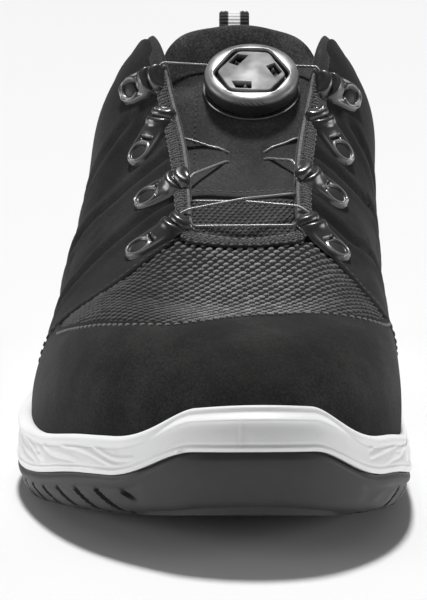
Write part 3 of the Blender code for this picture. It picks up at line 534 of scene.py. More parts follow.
def dome(sides=8):
    """A low round-topped grain, unit half sizes, closed underneath."""
    rows = [(1.0, -0.35), (0.94, 0.25), (0.62, 0.82)]
    points, faces = [], []
    for r, z in rows:
        points += [(r * math.cos(2 * math.pi * i / sides), r * math.sin(2 * math.pi * i / sides), z) for i in range(sides)]
    points.append((0, 0, 1.0))
    top = len(points) - 1
    for q in range(len(rows) - 1):
        for i in range(sides):
            j = (i + 1) % sides
            faces.append((q * sides + i, q * sides + j, (q + 1) * sides + j, (q + 1) * sides + i))
    for i in range(sides):
        faces.append((2 * sides + i, 2 * sides + (i + 1) % sides, top))
    faces.append(tuple(range(sides))[::-1])
    return np.array(points), faces


def shares(length, spacing, fine=(0.0, 0.12, 0.3, 0.55, 0.9, 1.4)):
    """Shares 0 to 1 of a length in mm, closer together near both ends."""
    fine = np.array(fine)
    count = max(2, int(round((length - 2 * fine[-1]) / spacing)) + 1)
    middle = np.linspace(fine[-1], length - fine[-1], count)
    return np.concatenate([fine[:-1], middle, (length - fine[:-1])[::-1]]) / length


def from_border(base, which=(1, 1, 1, 1)):
    """Distance in mm of each grid point from the chosen borders: first row, last row, first column, last column."""
    rows = np.concatenate([np.zeros((1, base.shape[1])), np.cumsum(np.linalg.norm(np.diff(base, axis=0), axis=2), axis=0)])
    columns = np.concatenate([np.zeros((base.shape[0], 1)), np.cumsum(np.linalg.norm(np.diff(base, axis=1), axis=2), axis=1)], axis=1)
    found = [rows, rows[-1:] - rows, columns, columns[:, -1:] - columns]
    best = np.full(base.shape[:2], 1e9)
    for use, distance in zip(which, found):
        if use:
            best = np.minimum(best, distance)
    return best


def rolled(distance, lift, low, edge):
    """Lift that falls in a round edge from lift to low over the last edge mm."""
    k = np.clip(1 - distance / edge, 0, 1)
    return low + (lift - low) * np.sqrt(np.maximum(0, 1 - k * k))


def panel(name, s, t, lift, look, slot, bottom=-0.1, edge=0.9, borders=(1, 1, 1, 1), relief=None, nodes=(), uv=None):
    """A closed panel lying on the upper, on grids of sections and shares, with rounded borders."""
    base = on(s, t)
    distance = from_border(base, borders)
    height = rolled(distance, lift, bottom + 0.35, edge)
    fold = np.zeros_like(distance)
    if relief is not None:
        form = relief(base, distance) * smooth_step(0, 2.0, distance)
        # The troughs' depth is kept as fold, the mask of the painted shade in the creases.
        height, fold = height + form, np.clip(-form / 1.2, 0, 1)
    return piece(name, *shell(on(s, t, np.maximum(height, bottom + 0.1)), on(s, t, bottom)), look, slot, nodes,
                 values={"border": np.concatenate([distance.ravel(), distance.ravel()]), "fold": np.concatenate([fold.ravel(), fold.ravel()])})


# ---------------------------------------------------------------- materials
class Look:
    """A procedural material: shader, and helpers that return sockets."""

    def __init__(self, name, roughness=0.6, metallic=0.0, **constants):
        self.material = bpy.data.materials.new(name)
        self.material.use_nodes = True
        tree = self.material.node_tree
        self.nodes, self.links = tree.nodes, tree.links
        self.shader = self.nodes["Principled BSDF"]
        self.shader.inputs["Roughness"].default_value = roughness
        self.shader.inputs["Metallic"].default_value = metallic
        for key, value in constants.items():
            self.shader.inputs[key.replace("_", " ")].default_value = value
        self.where = self.nodes.new("ShaderNodeTexCoord").outputs["Object"]

    def put(self, socket, value):
        if isinstance(value, bpy.types.NodeSocket):
            self.links.new(value, socket)
        else:
            socket.default_value = value

    def stretched(self, scale, turn=(0, 0, 0)):
        node = self.nodes.new("ShaderNodeMapping")
        self.links.new(self.where, node.inputs["Vector"])
        node.inputs["Scale"].default_value = scale
        node.inputs["Rotation"].default_value = turn
        return node.outputs["Vector"]

    def uv(self):
        node = self.nodes.new("ShaderNodeUVMap")
        node.uv_map = "weave"
        return node.outputs["UV"]

    def noise(self, scale, detail=3.0, rough=0.55, vector=None):
        node = self.nodes.new("ShaderNodeTexNoise")
        self.links.new(vector or self.where, node.inputs["Vector"])
        node.inputs["Scale"].default_value = scale
        node.inputs["Detail"].default_value = detail
        node.inputs["Roughness"].default_value = rough
        return node.outputs["Fac"]

    def cells(self, scale, vector=None, feature="F1"):
        node = self.nodes.new("ShaderNodeTexVoronoi")
        node.feature = feature
        self.links.new(vector or self.where, node.inputs["Vector"])
        node.inputs["Scale"].default_value = scale
        return node.outputs["Distance"]

    def waves(self, scale, direction="X", vector=None, distortion=0.0):
        node = self.nodes.new("ShaderNodeTexWave")
        node.wave_type, node.bands_direction, node.wave_profile = "BANDS", direction, "SIN"
        self.links.new(vector or self.where, node.inputs["Vector"])
        node.inputs["Scale"].default_value = scale
        node.inputs["Distortion"].default_value = distortion
        return node.outputs["Fac"]

    def attribute(self, name):
        node = self.nodes.new("ShaderNodeAttribute")
        node.attribute_name = name
        return node.outputs["Fac"]

    def axis(self, which):
        node = self.nodes.new("ShaderNodeSeparateXYZ")
        self.links.new(self.where, node.inputs["Vector"])
        return node.outputs[which]

    def span(self, value, low, high, to_low=0.0, to_high=1.0):
        node = self.nodes.new("ShaderNodeMapRange")
        self.put(node.inputs["Value"], value)
        for key, number in zip(("From Min", "From Max", "To Min", "To Max"), (low, high, to_low, to_high)):
            node.inputs[key].default_value = number
        return node.outputs["Result"]

    def maths(self, operation, a, b):
        node = self.nodes.new("ShaderNodeMath")
        node.operation = operation
        self.put(node.inputs[0], a)
        self.put(node.inputs[1], b)
        return node.outputs[0]

    def tones(self, value, stops):
        """A colour from a value, through stops of (place, grey or colour)."""
        node = self.nodes.new("ShaderNodeValToRGB")
        self.put(node.inputs["Fac"], value)
        ramp = node.color_ramp
        while len(ramp.elements) < len(stops):
            ramp.elements.new(0.5)
        for element, (where, colour) in zip(ramp.elements, stops):
            element.position = where
            element.color = (*colour, 1) if isinstance(colour, (tuple, list)) else (colour, colour, colour, 1)
        return node.outputs["Color"]

    def mixed(self, share, a, b):
        node = self.nodes.new("ShaderNodeMix")
        node.data_type = "RGBA"
        self.put(node.inputs["Factor"], share)
        for key, value in (("A", a), ("B", b)):
            sockets = [i for i in node.inputs if i.name == key and i.type == "RGBA"]
            self.put(sockets[0], value if isinstance(value, bpy.types.NodeSocket) else (*value, 1))
        return [o for o in node.outputs if o.type == "RGBA"][0]

    def colour(self, socket):
        self.links.new(socket, self.shader.inputs["Base Color"])

    def rough(self, socket):
        self.links.new(socket, self.shader.inputs["Roughness"])

    def relief(self, *layers):
        """Bumps, each (height socket, strength, distance in mm)."""
        normal = None
        for height, strength, distance in layers:
            node = self.nodes.new("ShaderNodeBump")
            self.links.new(height, node.inputs["Height"])
            node.inputs["Strength"].default_value = strength
            node.inputs["Distance"].default_value = distance / 1000
            if normal is not None:
                self.links.new(normal, node.inputs["Normal"])
            normal = node.outputs["Normal"]
        self.links.new(normal, self.shader.inputs["Normal"])
        return self.material


def nubuck(name, dark, pale, sheen=0.12, grain=1.0, front=0.0, seam_shade=0.0):
    """Brushed microfibre: a short nap, cloudy tone, matt, paler at its worn borders, with painted shade in its creases;
    where asked for, painted light towards its front and painted shade along the seam at its upper edge.
    """
    look = Look(name, 0.9, Sheen_Weight=sheen, Sheen_Roughness=0.45, Specular_IOR_Level=0.25)
    cloud, nap = look.noise(55, 4, 0.6), look.noise(1500, 4, 0.75)
    both = look.maths("ADD", look.maths("MULTIPLY", cloud, 0.40), look.maths("MULTIPLY", nap, 0.60))
    tone = look.tones(both, [(0.41, tuple(0.30 * c for c in dark)), (0.50, tuple(0.5 * (a + b) for a, b in zip(dark, pale))), (0.61, tuple(1.9 * c for c in pale))])
    wear_and_highlight = look.span(look.attribute("border"), 0.2, 1.1, 0.35, 0.0)
    colour = look.mixed(wear_and_highlight, tone, tuple(1.9 * c for c in pale))
    # Painted light: paler towards the front, lifting the shade that the dial casts on the tongue.
    if front:
        colour = look.mixed(look.span(look.axis("Y"), 0.006, 0.026, front, 0.0), colour, tuple(2.4 * c for c in pale))
    # Painted shade: a dark band along the panel's upper edge, standing in for the shade at its seam.
    if seam_shade:
        colour = look.mixed(look.span(look.attribute("border"), 1.5, 2.4, seam_shade, 0.0), colour, tuple(0.12 * c for c in dark))
    # Painted shade: darker where the panel sinks into a crease, for the crease's shade.
    look.colour(look.mixed(look.span(look.attribute("fold"), 0.12, 0.90, 0.0, 0.72), colour, tuple(0.25 * c for c in dark)))
    look.rough(look.span(nap, 0.3, 0.7, 0.80, 0.97))
    return look.relief((look.noise(420, 4, 0.6), 0.22 * grain, 0.5), (nap, 0.35 * grain, 0.25))


def knit(name, dark, pale, scale=620, sheen=0.15):
    """A fine knitted lining."""
    look = Look(name, 0.92, Sheen_Weight=sheen, Sheen_Roughness=0.5, Specular_IOR_Level=0.2)
    cell, cloud = look.cells(scale), look.noise(80, 3)
    look.colour(look.tones(look.maths("ADD", look.maths("MULTIPLY", cell, 0.7), look.maths("MULTIPLY", cloud, 0.3)), [(0.15, dark), (0.62, pale)]))
    look.rough(look.span(cloud, 0.3, 0.7, 0.85, 0.97))
    return look.relief((cell, 0.55, 0.5), (look.noise(3000, 2), 0.2, 0.2))


def yarn(name, dark, pale, sheen=0.25, shaded=False):
    look = Look(name, 0.62, Sheen_Weight=sheen, Sheen_Roughness=0.4, Specular_IOR_Level=0.4)
    strand = look.noise(900, 3, 0.6, look.stretched((3.0, 0.6, 1.0)))
    tone = look.tones(strand, [(0.30, dark), (0.68, pale)])
    # Where asked for, painted shade: the tone value takes the grain towards near black.
    look.colour(look.mixed(look.attribute("tone"), tuple(0.10 * c for c in dark), tone) if shaded else tone)
    look.rough(look.span(strand, 0.3, 0.7, 0.5, 0.8))
    return look.relief((look.noise(2400, 2, 0.6, look.stretched((2.4, 0.5, 1.0))), 0.4, 0.2))


def moulded(name, grey, rough_low, rough_high, coat=0.0, speckle=1.0):
    """Hard moulded plastic with a fine matt grain under its gloss."""
    look = Look(name, rough_low, Coat_Weight=coat, Coat_Roughness=0.08, Specular_IOR_Level=0.5)
    cloud, fine = look.noise(240, 4, 0.6), look.noise(2200, 2)
    look.colour(look.tones(cloud, [(0.3, tuple(0.75 * c for c in grey)), (0.7, tuple(1.35 * c for c in grey))]))
    look.rough(look.span(cloud, 0.3, 0.7, rough_low, rough_high))
    return look.relief((fine, 0.05 * speckle, 0.1))


def foam():
    """White moulded foam: soft skin, faint clouds, grey dusty patches here and there."""
    look = Look("midsole_foam", 0.5, Specular_IOR_Level=0.45)
    cloud, fine = look.noise(45, 4, 0.55), look.noise(1500, 3)
    tone = look.tones(cloud, [(0.28, (0.86, 0.863, 0.866)), (0.72, (0.92, 0.92, 0.92))])
    dust = look.span(look.noise(160, 5, 0.7), 0.58, 0.78, 0.0, 0.22)
    look.colour(look.mixed(dust, tone, (0.60, 0.595, 0.58)))
    look.rough(look.span(cloud, 0.3, 0.7, 0.42, 0.58))
    return look.relief((fine, 0.05, 0.15), (look.noise(260, 3), 0.05, 0.4))


def rubber():
    """Carbon-grey rubber: matt skin, rubbed paler and dusty low on its edge."""
    look = Look("outsole_rubber", 0.55, Specular_IOR_Level=0.4)
    cloud, fine = look.noise(60, 4, 0.6), look.noise(1800, 3, 0.65)
    tone = look.tones(cloud, [(0.3, (0.034, 0.034, 0.035)), (0.7, (0.052, 0.052, 0.053))])
    streak = look.noise(120, 5, 0.7, look.stretched((0.35, 0.35, 2.6)))
    low = look.span(look.axis("Z"), 0.004, 0.020, 1.0, 0.0)
    scuff = look.maths("MULTIPLY", look.span(streak, 0.52, 0.70, 0.0, 0.55), low)
    look.colour(look.mixed(scuff, tone, (0.105, 0.102, 0.098)))
    look.rough(look.span(look.maths("ADD", cloud, look.maths("MULTIPLY", fine, 0.4)), 0.4, 0.95, 0.42, 0.68))
    return look.relief((fine, 0.10, 0.2), (look.noise(500, 4), 0.06, 0.3))


def brushed_metal():
    """Satin metal plate, black in its windows."""
    look = Look("dial_cover", 0.58, 0.1, Specular_IOR_Level=0.3)
    line = look.noise(900, 4, 0.7, look.stretched((0.6, 2.0, 2.0)))
    cloud, window = look.noise(160, 3), look.attribute("dark")
    tone = look.tones(look.noise(110, 2, 0.5), [(0.36, (0.175, 0.175, 0.177)), (0.5, (0.33, 0.33, 0.332)), (0.64, (0.54, 0.54, 0.543))])
    look.colour(look.mixed(window, tone, (0.004, 0.004, 0.0045)))
    look.rough(look.span(cloud, 0.3, 0.7, 0.52, 0.66))
    look.links.new(look.span(window, 0.3, 0.7, 0.1, 0.0), look.shader.inputs["Metallic"])
    return look.relief((line, 0.02, 0.1))


def knob_finish():
    """Moulding that is near black on its wall and satin grey with a little metal from the shoulder up; painted shade
    darkens its grip marks and the inside of its well.
    """
    look = Look("dial_knob_satin", 0.34, Specular_IOR_Level=0.5)
    cloud, pale = look.noise(240, 4, 0.6), look.attribute("pale")
    dark = look.tones(cloud, [(0.3, (0.014, 0.014, 0.0145)), (0.7, (0.026, 0.026, 0.027))])
    satin = look.tones(cloud, [(0.3, (0.165, 0.165, 0.168)), (0.7, (0.25, 0.25, 0.253))])
    look.colour(look.mixed(pale, dark, satin))
    look.links.new(look.span(pale, 0.0, 1.0, 0.0, 0.12), look.shader.inputs["Metallic"])
    look.rough(look.span(cloud, 0.3, 0.7, 0.29, 0.36))
    return look.relief((look.noise(2200, 2), 0.04, 0.1))


def guide_plastic():
    """Glossy black moulding: matt in the rivet well, with painted shade darkening the well and painted highlights
    paling the ring, the rim's bevel and the slot's edge.
    """
    look = Look("guide_plastic", 0.28, Coat_Roughness=0.20, Specular_IOR_Level=0.5)
    cloud, well = look.noise(240, 4, 0.6), look.attribute("well")
    tone = look.tones(cloud, [(0.3, (0.020, 0.020, 0.0205)), (0.7, (0.030, 0.030, 0.031))])
    # Painted highlights: the ring, the rim's bevel and the slot's edge coloured paler, as lit outlines.
    wear_and_highlight = look.mixed(look.attribute("edge"), tone, (0.30, 0.30, 0.305))
    # Painted shade: the rivet well darker in colour; its matt finish and weaker coat are its own.
    look.colour(look.mixed(well, wear_and_highlight, (0.009, 0.009, 0.0095)))
    look.rough(look.maths("ADD", look.span(cloud, 0.3, 0.7, 0.30, 0.40), look.maths("MULTIPLY", well, 0.35)))
    look.links.new(look.span(well, 0.0, 1.0, 1.0, 0.15), look.shader.inputs["Coat Weight"])
    return look.relief((look.noise(2200, 2), 0.05, 0.1))


def steel_wire():
    """Coated steel strand: fine turns round the wire."""
    look = Look("lace_wire", 0.38, 0.55, Specular_IOR_Level=0.5)
    turn = look.waves(700, "DIAGONAL")
    look.colour(look.tones(turn, [(0.2, (0.18, 0.18, 0.182)), (0.8, (0.42, 0.42, 0.425))]))
    look.rough(look.span(turn, 0.0, 1.0, 0.5, 0.3))
    return look.relief((turn, 0.25, 0.15))


def tape(name, dark, pale):
    """Narrow woven tape: ribs across, seen along its own run."""
    look = Look(name, 0.75, Sheen_Weight=0.2, Sheen_Roughness=0.4, Specular_IOR_Level=0.3)
    rib, cloud = look.cells(1400), look.noise(300, 3)
    look.colour(look.tones(look.maths("ADD", look.maths("MULTIPLY", rib, 0.6), look.maths("MULTIPLY", cloud, 0.5)), [(0.3, dark), (0.75, pale)]))
    look.rough(look.span(cloud, 0.3, 0.7, 0.62, 0.85))
    return look.relief((rib, 0.4, 0.3))


def webbing():
    """Loop webbing: pale middle, black ribbed edges, from its own width and length."""
    look = Look("loop_webbing", 0.75, Sheen_Weight=0.2, Sheen_Roughness=0.4, Specular_IOR_Level=0.3)
    split = look.nodes.new("ShaderNodeSeparateXYZ")
    look.links.new(look.uv(), split.inputs["Vector"])
    middle = look.span(look.maths("ABSOLUTE", look.maths("SUBTRACT", split.outputs["X"], 0.0), 0.0), 1.75, 2.15, 1.0, 0.0)
    pick = look.maths("SINE", look.maths("MULTIPLY", split.outputs["Y"], 2 * math.pi / 1.15), 0.0)
    fibre = look.noise(1500, 3)
    pale = look.tones(fibre, [(0.3, (0.93, 0.93, 0.93)), (0.7, (0.97, 0.97, 0.965))])
    black = look.tones(fibre, [(0.3, (0.012, 0.012, 0.013)), (0.7, (0.03, 0.03, 0.031))])
    look.colour(look.mixed(middle, black, pale))
    look.rough(look.span(fibre, 0.3, 0.7, 0.65, 0.85))
    return look.relief((pick, 0.35, 0.3), (fibre, 0.3, 0.2))


NUBUCK = nubuck("nubuck", (0.0066, 0.0066, 0.0068), (0.0128, 0.0125, 0.0125), 0.04)
# The toe panel's nubuck, with painted shade along its seam.
NUBUCK_TOE = nubuck("nubuck_toe", (0.0080, 0.0078, 0.0076), (0.0150, 0.0146, 0.0142), 0.05, seam_shade=0.9)
# The tongue's cloth, with painted light at its front over the dial's cast shadow.
NUBUCK_TONGUE = nubuck("nubuck_tongue", (0.025, 0.025, 0.0255), (0.047, 0.047, 0.0475), 0.10, front=0.26)
LINING = knit("lining_knit", (0.012, 0.012, 0.013), (0.035, 0.035, 0.036))
COLLAR = nubuck("collar_cloth", (0.0066, 0.0066, 0.0068), (0.0128, 0.0125, 0.0125), 0.04)
GROUND = knit("vamp_ground", (0.006, 0.006, 0.006), (0.016, 0.016, 0.017), 900, 0.05)
GRAIN = yarn("vamp_yarn", (0.165, 0.165, 0.166), (0.43, 0.43, 0.432), shaded=True)
GRAIN_DARK = yarn("tongue_yarn", (0.040, 0.040, 0.041), (0.120, 0.120, 0.121))
TRIM_YARN = yarn("trim_yarn", (0.055, 0.055, 0.056), (0.150, 0.150, 0.152))
FOOTBED = knit("insole_fabric", (0.016, 0.016, 0.017), (0.045, 0.045, 0.046), 520)
FOAM, RUBBER, METAL, STEEL = foam(), rubber(), brushed_metal(), steel_wire()
GUIDE = guide_plastic()
KNOB = knob_finish()
SATIN = moulded("dial_black", (0.022, 0.022, 0.0225), 0.22, 0.32, 0.30)
RAIL = tape("trim_rail", (0.09, 0.09, 0.091), (0.22, 0.22, 0.222))
TAPE = tape("trim_tape", (0.010, 0.010, 0.0105), (0.028, 0.028, 0.029))
THREAD = yarn("thread_grey", (0.10, 0.10, 0.10), (0.20, 0.20, 0.20), 0.15)
THREAD_DARK = yarn("thread_dark", (0.024, 0.024, 0.024), (0.060, 0.060, 0.061), 0.15)
WEBBING = webbing()


# ---------------------------------------------------------------- sole
def ring_at(s, offset, height):
    """A ring beside the sole's outline: offset outwards and height, numbers or functions of (x, d)."""
    here, out = outline(s)
    x, d = here[:, 0], here[:, 1]
    aside = offset(x, d) if callable(offset) else np.full(len(x), float(offset))
    z = height(x, d) if callable(height) else np.full(len(x), float(height))
    return np.column_stack([here + out * aside[:, None], z])


def through(rings, at):
    """Rings (k, n, 3) joined by smooth curves, read at shares 0 to 1."""
    rings = np.stack(rings)
    return open_curve(rings.reshape(len(rings), -1), at).reshape(len(at), -1, 3)


def bridge(ring, first, start, columns, shape=None):
    """Fills a ring of n points (indices from first) with rows across it, outer side to inner side.

    shape(points, share, row) may move the new points. New points are numbered from start."""
    n = len(ring)
    index = np.zeros((n // 2 + 1, columns + 1), int)
    index[0], index[-1] = first, first + n // 2
    share = np.linspace(0, 1, columns + 1)[1:-1]
    rows = np.arange(1, n // 2)
    index[1:-1, 0], index[1:-1, -1] = first + rows, first + n - rows
    made = ring[rows][:, None] * (1 - share)[None, :, None] + ring[n - rows][:, None] * share[None, :, None]
    if shape is not None:
        made = shape(made, share, rows)
    index[1:-1, 1:-1] = start + np.arange(made.shape[0] * made.shape[1]).reshape(made.shape[:2])
    faces = []
    for a, b in zip(index[:-1].tolist(), index[1:].tolist()):
        for j in range(columns):
            face = list(dict.fromkeys((a[j], a[j + 1], b[j + 1], b[j])))
            if len(face) > 2:
                faces.append(face)
    return made.reshape(-1, 3), faces


def run_from_heel(s):
    """Arc length along the outline from the heel, on whichever side the section lies."""
    fine = np.linspace(0, SECTIONS, 4801)
    here, _ = outline(fine % SECTIONS)
    run = np.concatenate([[0], np.cumsum(np.linalg.norm(np.diff(here, axis=0), axis=1))])
    at = np.interp(np.asarray(s, float) % SECTIONS, fine, run)
    return np.where(np.asarray(s) % SECTIONS <= 12, at, run[-1] - at)


def lug_places(d):
    """1 where the tread has lugs, under the forefoot and the heel."""
    return smooth_step(11, 16, d) * (1 - smooth_step(140, 148, d)) + smooth_step(213, 219, d) * (1 - smooth_step(284, 289, d))


LUG_PITCH = 10.6


def groove(run, drop, inward):
    """Distance in mm from the nearest tread groove: run along the edge, drop down the wall, inward under the sole."""
    phase = (run - 0.85 * drop - 0.030 * drop ** 2 - 0.48 * inward) / LUG_PITCH
    return np.abs(phase - np.round(phase)) * LUG_PITCH


def make_outsole():
    n = 1040
    s = np.arange(n) * SECTIONS / n
    here, out = outline(s)
    x, d = here[:, 0], here[:, 1]
    low, high, run = tread_z(x, d), rubber_z(x, d), run_from_heel(s)
    side = 1 - smooth_step(0.02, 0.30, toe_rise(x, d))

    def wall(share, offset):
        return np.column_stack([here + out * offset, low + 2.2 + share * (high - low - 2.2)])

    control = [
        ring_at(s, -5.2, tread_z),
        ring_at(s, -3.6, lambda x, d: tread_z(x, d) + 0.6),
        ring_at(s, -2.2, lambda x, d: tread_z(x, d) + 2.2),
        wall(0.28, -1.1), wall(0.55, -0.35), wall(0.80, 0.0), wall(1.0, -0.25),
    ]
    rows = through(control, np.linspace(0, 1, 30))
    outward = np.column_stack([out, np.zeros(n)])
    shaped = []
    for row in rows:
        z = row[:, 2]
        share = (z - low) / np.maximum(high - low, 1)
        drop = np.maximum(0, high - z)
        # A fine step under the smooth upper band, then slanted slots between the lugs below it.
        step = -0.55 * bump(share, 0.66, 0.055) * side - 0.30 * (1 - smooth_step(0.60, 0.66, share)) * side
        near = groove(run, drop, 0.0)
        slot = -2.2 * (1 - smooth_step(0.45, 0.95, near)) * (1 - smooth_step(0.56, 0.66, share)) * lug_places(d) * side * np.where(x > 0, smooth_step(26, 34, d), 1)
        belly = 0.35 * bump(near, LUG_PITCH / 2, 2.6) * (1 - smooth_step(0.45, 0.62, share)) * lug_places(d) * side
        # The toe bumper: a rounded upper edge with a shallow crease along it.
        crease = -0.9 * (1 - smooth_step(0.3, 1.5, high - z)) * (0.45 + 0.55 * (1 - side))
        shaped.append(row + outward * (step + slot + belly + crease)[:, None])
    lip = [
        ring_at(s, -0.62, lambda x, d: rubber_z(x, d) + 0.0),
        ring_at(s, lambda x, d: -rubber_wall(x, d), lambda x, d: rubber_z(x, d) - 0.05),
        ring_at(s, lambda x, d: -rubber_wall(x, d) - 0.4, cup_z),
        ring_at(s, lambda x, d: -rubber_wall(x, d) - 2.4, lambda x, d: tread_z(x, d) + OUTSOLE_FLOOR),
    ]
    # Round the wall's top edge.
    shaped[-1][:, 2] -= 0.12
    rings = shaped + lip
    points = np.concatenate(rings)
    faces = grid_faces(len(rings), n, True)

    def tread(made, share, rows):
        inner = share[None, :] > 0.5
        across = np.linalg.norm(rings[0][rows] - rings[0][n - rows], axis=1)[:, None]
        inward = np.where(inner, (1 - share)[None, :], share[None, :]) * across
        edge_run = np.where(inner, run[n - rows][:, None], run[rows][:, None])
        drop = np.where(inner, (high - low)[n - rows][:, None], (high - low)[rows][:, None])
        near = groove(edge_run, drop, inward)
        dd = made[..., 1]
        lugs = smooth_step(13, 20, dd) * (1 - smooth_step(140, 148, dd)) + smooth_step(213, 219, dd) * (1 - smooth_step(284, 289, dd))
        width = 0.9 + 0.6 * smooth_step(0, 8, inward)
        cut = (1 - smooth_step(width - 0.3, width + 1.1, near))
        middle = 1 - smooth_step(1.3, 2.2, np.abs(share[None, :] - 0.5) * across)
        ring_cut = bump(inward, 11.0, 1.8) * 0.45
        cut = np.clip(np.maximum(np.maximum(cut, middle), ring_cut), 0, 1) * lugs
        ribs = 0.5 * (0.5 + 0.5 * np.cos(2 * np.pi * dd / 5.2)) * smooth_step(150, 156, dd) * (1 - smooth_step(204, 210, dd)) * smooth_step(2, 5, inward)
        made = made.copy()
        made[..., 2] = tread_z(made[..., 0], dd) + TREAD_DEPTH * cut * smooth_step(0, 0.5, inward) + ribs
        return made

    more, more_faces = bridge(rings[0], 0, len(points), 64, tread)
    points = np.concatenate([points, more])
    faces += more_faces
    cap_first = (len(rings) - 1) * n
    top, top_faces = bridge(rings[-1], cap_first, len(points), 6)
    points, faces = np.concatenate([points, top]), faces + top_faces
    points[:, 2] = np.maximum(points[:, 2], 0.0)
    return piece("outsole_rubber_cup", points, faces, RUBBER, "outsole_rubber", ["outsole"], sharp=50)


def upper_beside(s, z):
    """The upper's outer points in sections s at heights z on its lower wall, and their shares up."""
    half = STEPS // 2
    shares_up = np.linspace(0, 1, STEPS)[:half]
    column = FORM[np.round(np.asarray(s) % SECTIONS * PER_SECTION).astype(int) % len(FORM), :half, 2]
    t = np.array([np.interp(zz, c, shares_up) for zz, c in zip(z, column)])
    return on(s, t)


# Flowing ridges pressed in the midsole's sides: run from the heel where each begins at the top, length, height.
SIDE_RIDGES = [(14 + 15.5 * k, 30 + 4 * (k % 3), 0.42 - 0.08 * (k % 2)) for k in range(19)]


def make_midsole():
    n = 960
    s = np.arange(n) * SECTIONS / n
    here, out = outline(s)
    x, d = here[:, 0], here[:, 1]
    bottom, top, run = rubber_z(x, d) + GAP, rim_z(x, d), run_from_heel(s)
    outward = np.column_stack([out, np.zeros(n)])
    lower = floor_z(x, d)
    toe = toe_rise(x, d)

    def wall(share, offset):
        return np.column_stack([here + out * offset, bottom + share * (top - bottom)])

    def beside(share):
        return upper_beside(s, lower + share * (top - lower))

    rim = beside(1.0)
    down = np.array([0, 0, 1.0])
    ledge = RIM + 1.9 * drawn_in(s)[:, None]
    upper_edge, start = rim + outward * (ledge + 0.1) - down * 1.2, wall(0.22, 0.05)
    flat = toe[:, None]

    def between(inward, up):
        """A point of the toe band, by shares of the way in and up from its foot to its upper edge."""
        share = np.array([inward, inward, up])
        return start * (1 - share) + upper_edge * share

    control = [wall(0.0, -0.5), wall(0.10, 0.0), start, wall(0.45, -0.30) * (1 - flat) + between(0.08, 0.36) * flat,
               wall(0.65, -0.6) * (1 - flat) + between(0.22, 0.66) * flat,
               (rim + outward * (ledge + 0.25) - down * 2.4) * (1 - flat) + between(0.58, 0.88) * flat, upper_edge,
               rim + outward * (0.75 * ledge + GAP) - down * 0.28, rim + outward * (0.5 * ledge + GAP) + down * 0.02,
               rim + outward * (GAP + 0.25) - down * 0.35]
    rows = through(control, np.linspace(0, 1, 48))
    toe_s = np.linspace(10, 14, 401)
    toe_x = outline(toe_s)[0][:, 0]
    middle_run, nub = float(np.interp(0.4, toe_x, toe_s)), float(np.interp(-16.0, toe_x, toe_s))
    shaped = []
    for k, row in enumerate(rows):
        z = row[:, 2]
        up, under = z - bottom, top - z
        share = np.clip(up / (top - bottom), 0, 1)
        lip = (0.50 - 0.34 * toe) * (1 - smooth_step(1.7 - 0.9 * toe, 3.0 - 1.4 * toe, under)) * smooth_step(0.0, 0.7, under)
        bead = 0.50 * (1 - smooth_step(1.15, 1.65, up)) - 0.22 * bump(up, 2.0, 0.30)
        hollow = -0.42 * bump(share, 0.52, 0.26) * (0.35 + 0.65 * toe)
        wave = np.zeros(n)
        for begin, length, height in SIDE_RIDGES:
            along = (run - begin) / length
            line = 0.86 - 0.66 * along - 0.05 * np.sin(2 * np.pi * along * 1.2 + begin)
            fade = smooth_step(-0.02, 0.18, along) * (1 - smooth_step(0.75, 1.05, along))
            wave += height * fade * (bump(share, line, 0.050) - 0.75 * bump(share, line - 0.085, 0.050))
        wave *= (1 - smooth_step(0.0, 0.12, toe)) * smooth_step(1.9, 2.8, up) * smooth_step(2.4, 3.2, under)
        # Parting line down the middle of the toe band, and a moulding nub on its lower bead.
        seam = (0.24 * bump(s, middle_run, 0.012) - 0.14 * bump(np.abs(s - middle_run), 0.040, 0.015)) * smooth_step(0.3, 0.9, up) * smooth_step(2.0, 2.8, under)
        knob = 1.1 * np.exp(-((s - nub) / 0.030) ** 2 - ((up - 0.4) / 0.55) ** 2)
        dash = -0.55 * np.exp(-((share - 0.50) / 0.05) ** 2) * (bump(s, 9.05, 0.05) + bump(s, 14.55, 0.09))
        shaped.append(row + outward * (lip + bead + hollow + wave + seam + knob + dash)[:, None])
    inside = [beside(k) + outward * (GAP + 0.15) for k in (0.85, 0.6, 0.35, 0.16)]
    foot = np.column_stack([here - out * (UPPER_INSET - GAP - 0.3), lower])
    under = [
        ring_at(s, lambda x, d: -rubber_wall(x, d) - 2.4 - GAP, lambda x, d: tread_z(x, d) + OUTSOLE_FLOOR + GAP),
        ring_at(s, lambda x, d: -rubber_wall(x, d) - 0.4 - GAP, lambda x, d: cup_z(x, d) + GAP),
        ring_at(s, lambda x, d: -rubber_wall(x, d) - GAP, lambda x, d: rubber_z(x, d) + GAP),
    ]
    rings = under + shaped + inside + [foot]
    points = np.concatenate(rings)
    faces = grid_faces(len(rings), n, True)
    more, more_faces = bridge(rings[0], 0, len(points), 4)
    points, faces = np.concatenate([points, more]), faces + more_faces
    more, more_faces = bridge(rings[-1], (len(rings) - 1) * n, len(points), 4)
    points, faces = np.concatenate([points, more]), faces + more_faces
    return piece("midsole_rim", points, faces, FOAM, "midsole_foam", ["midsole"])


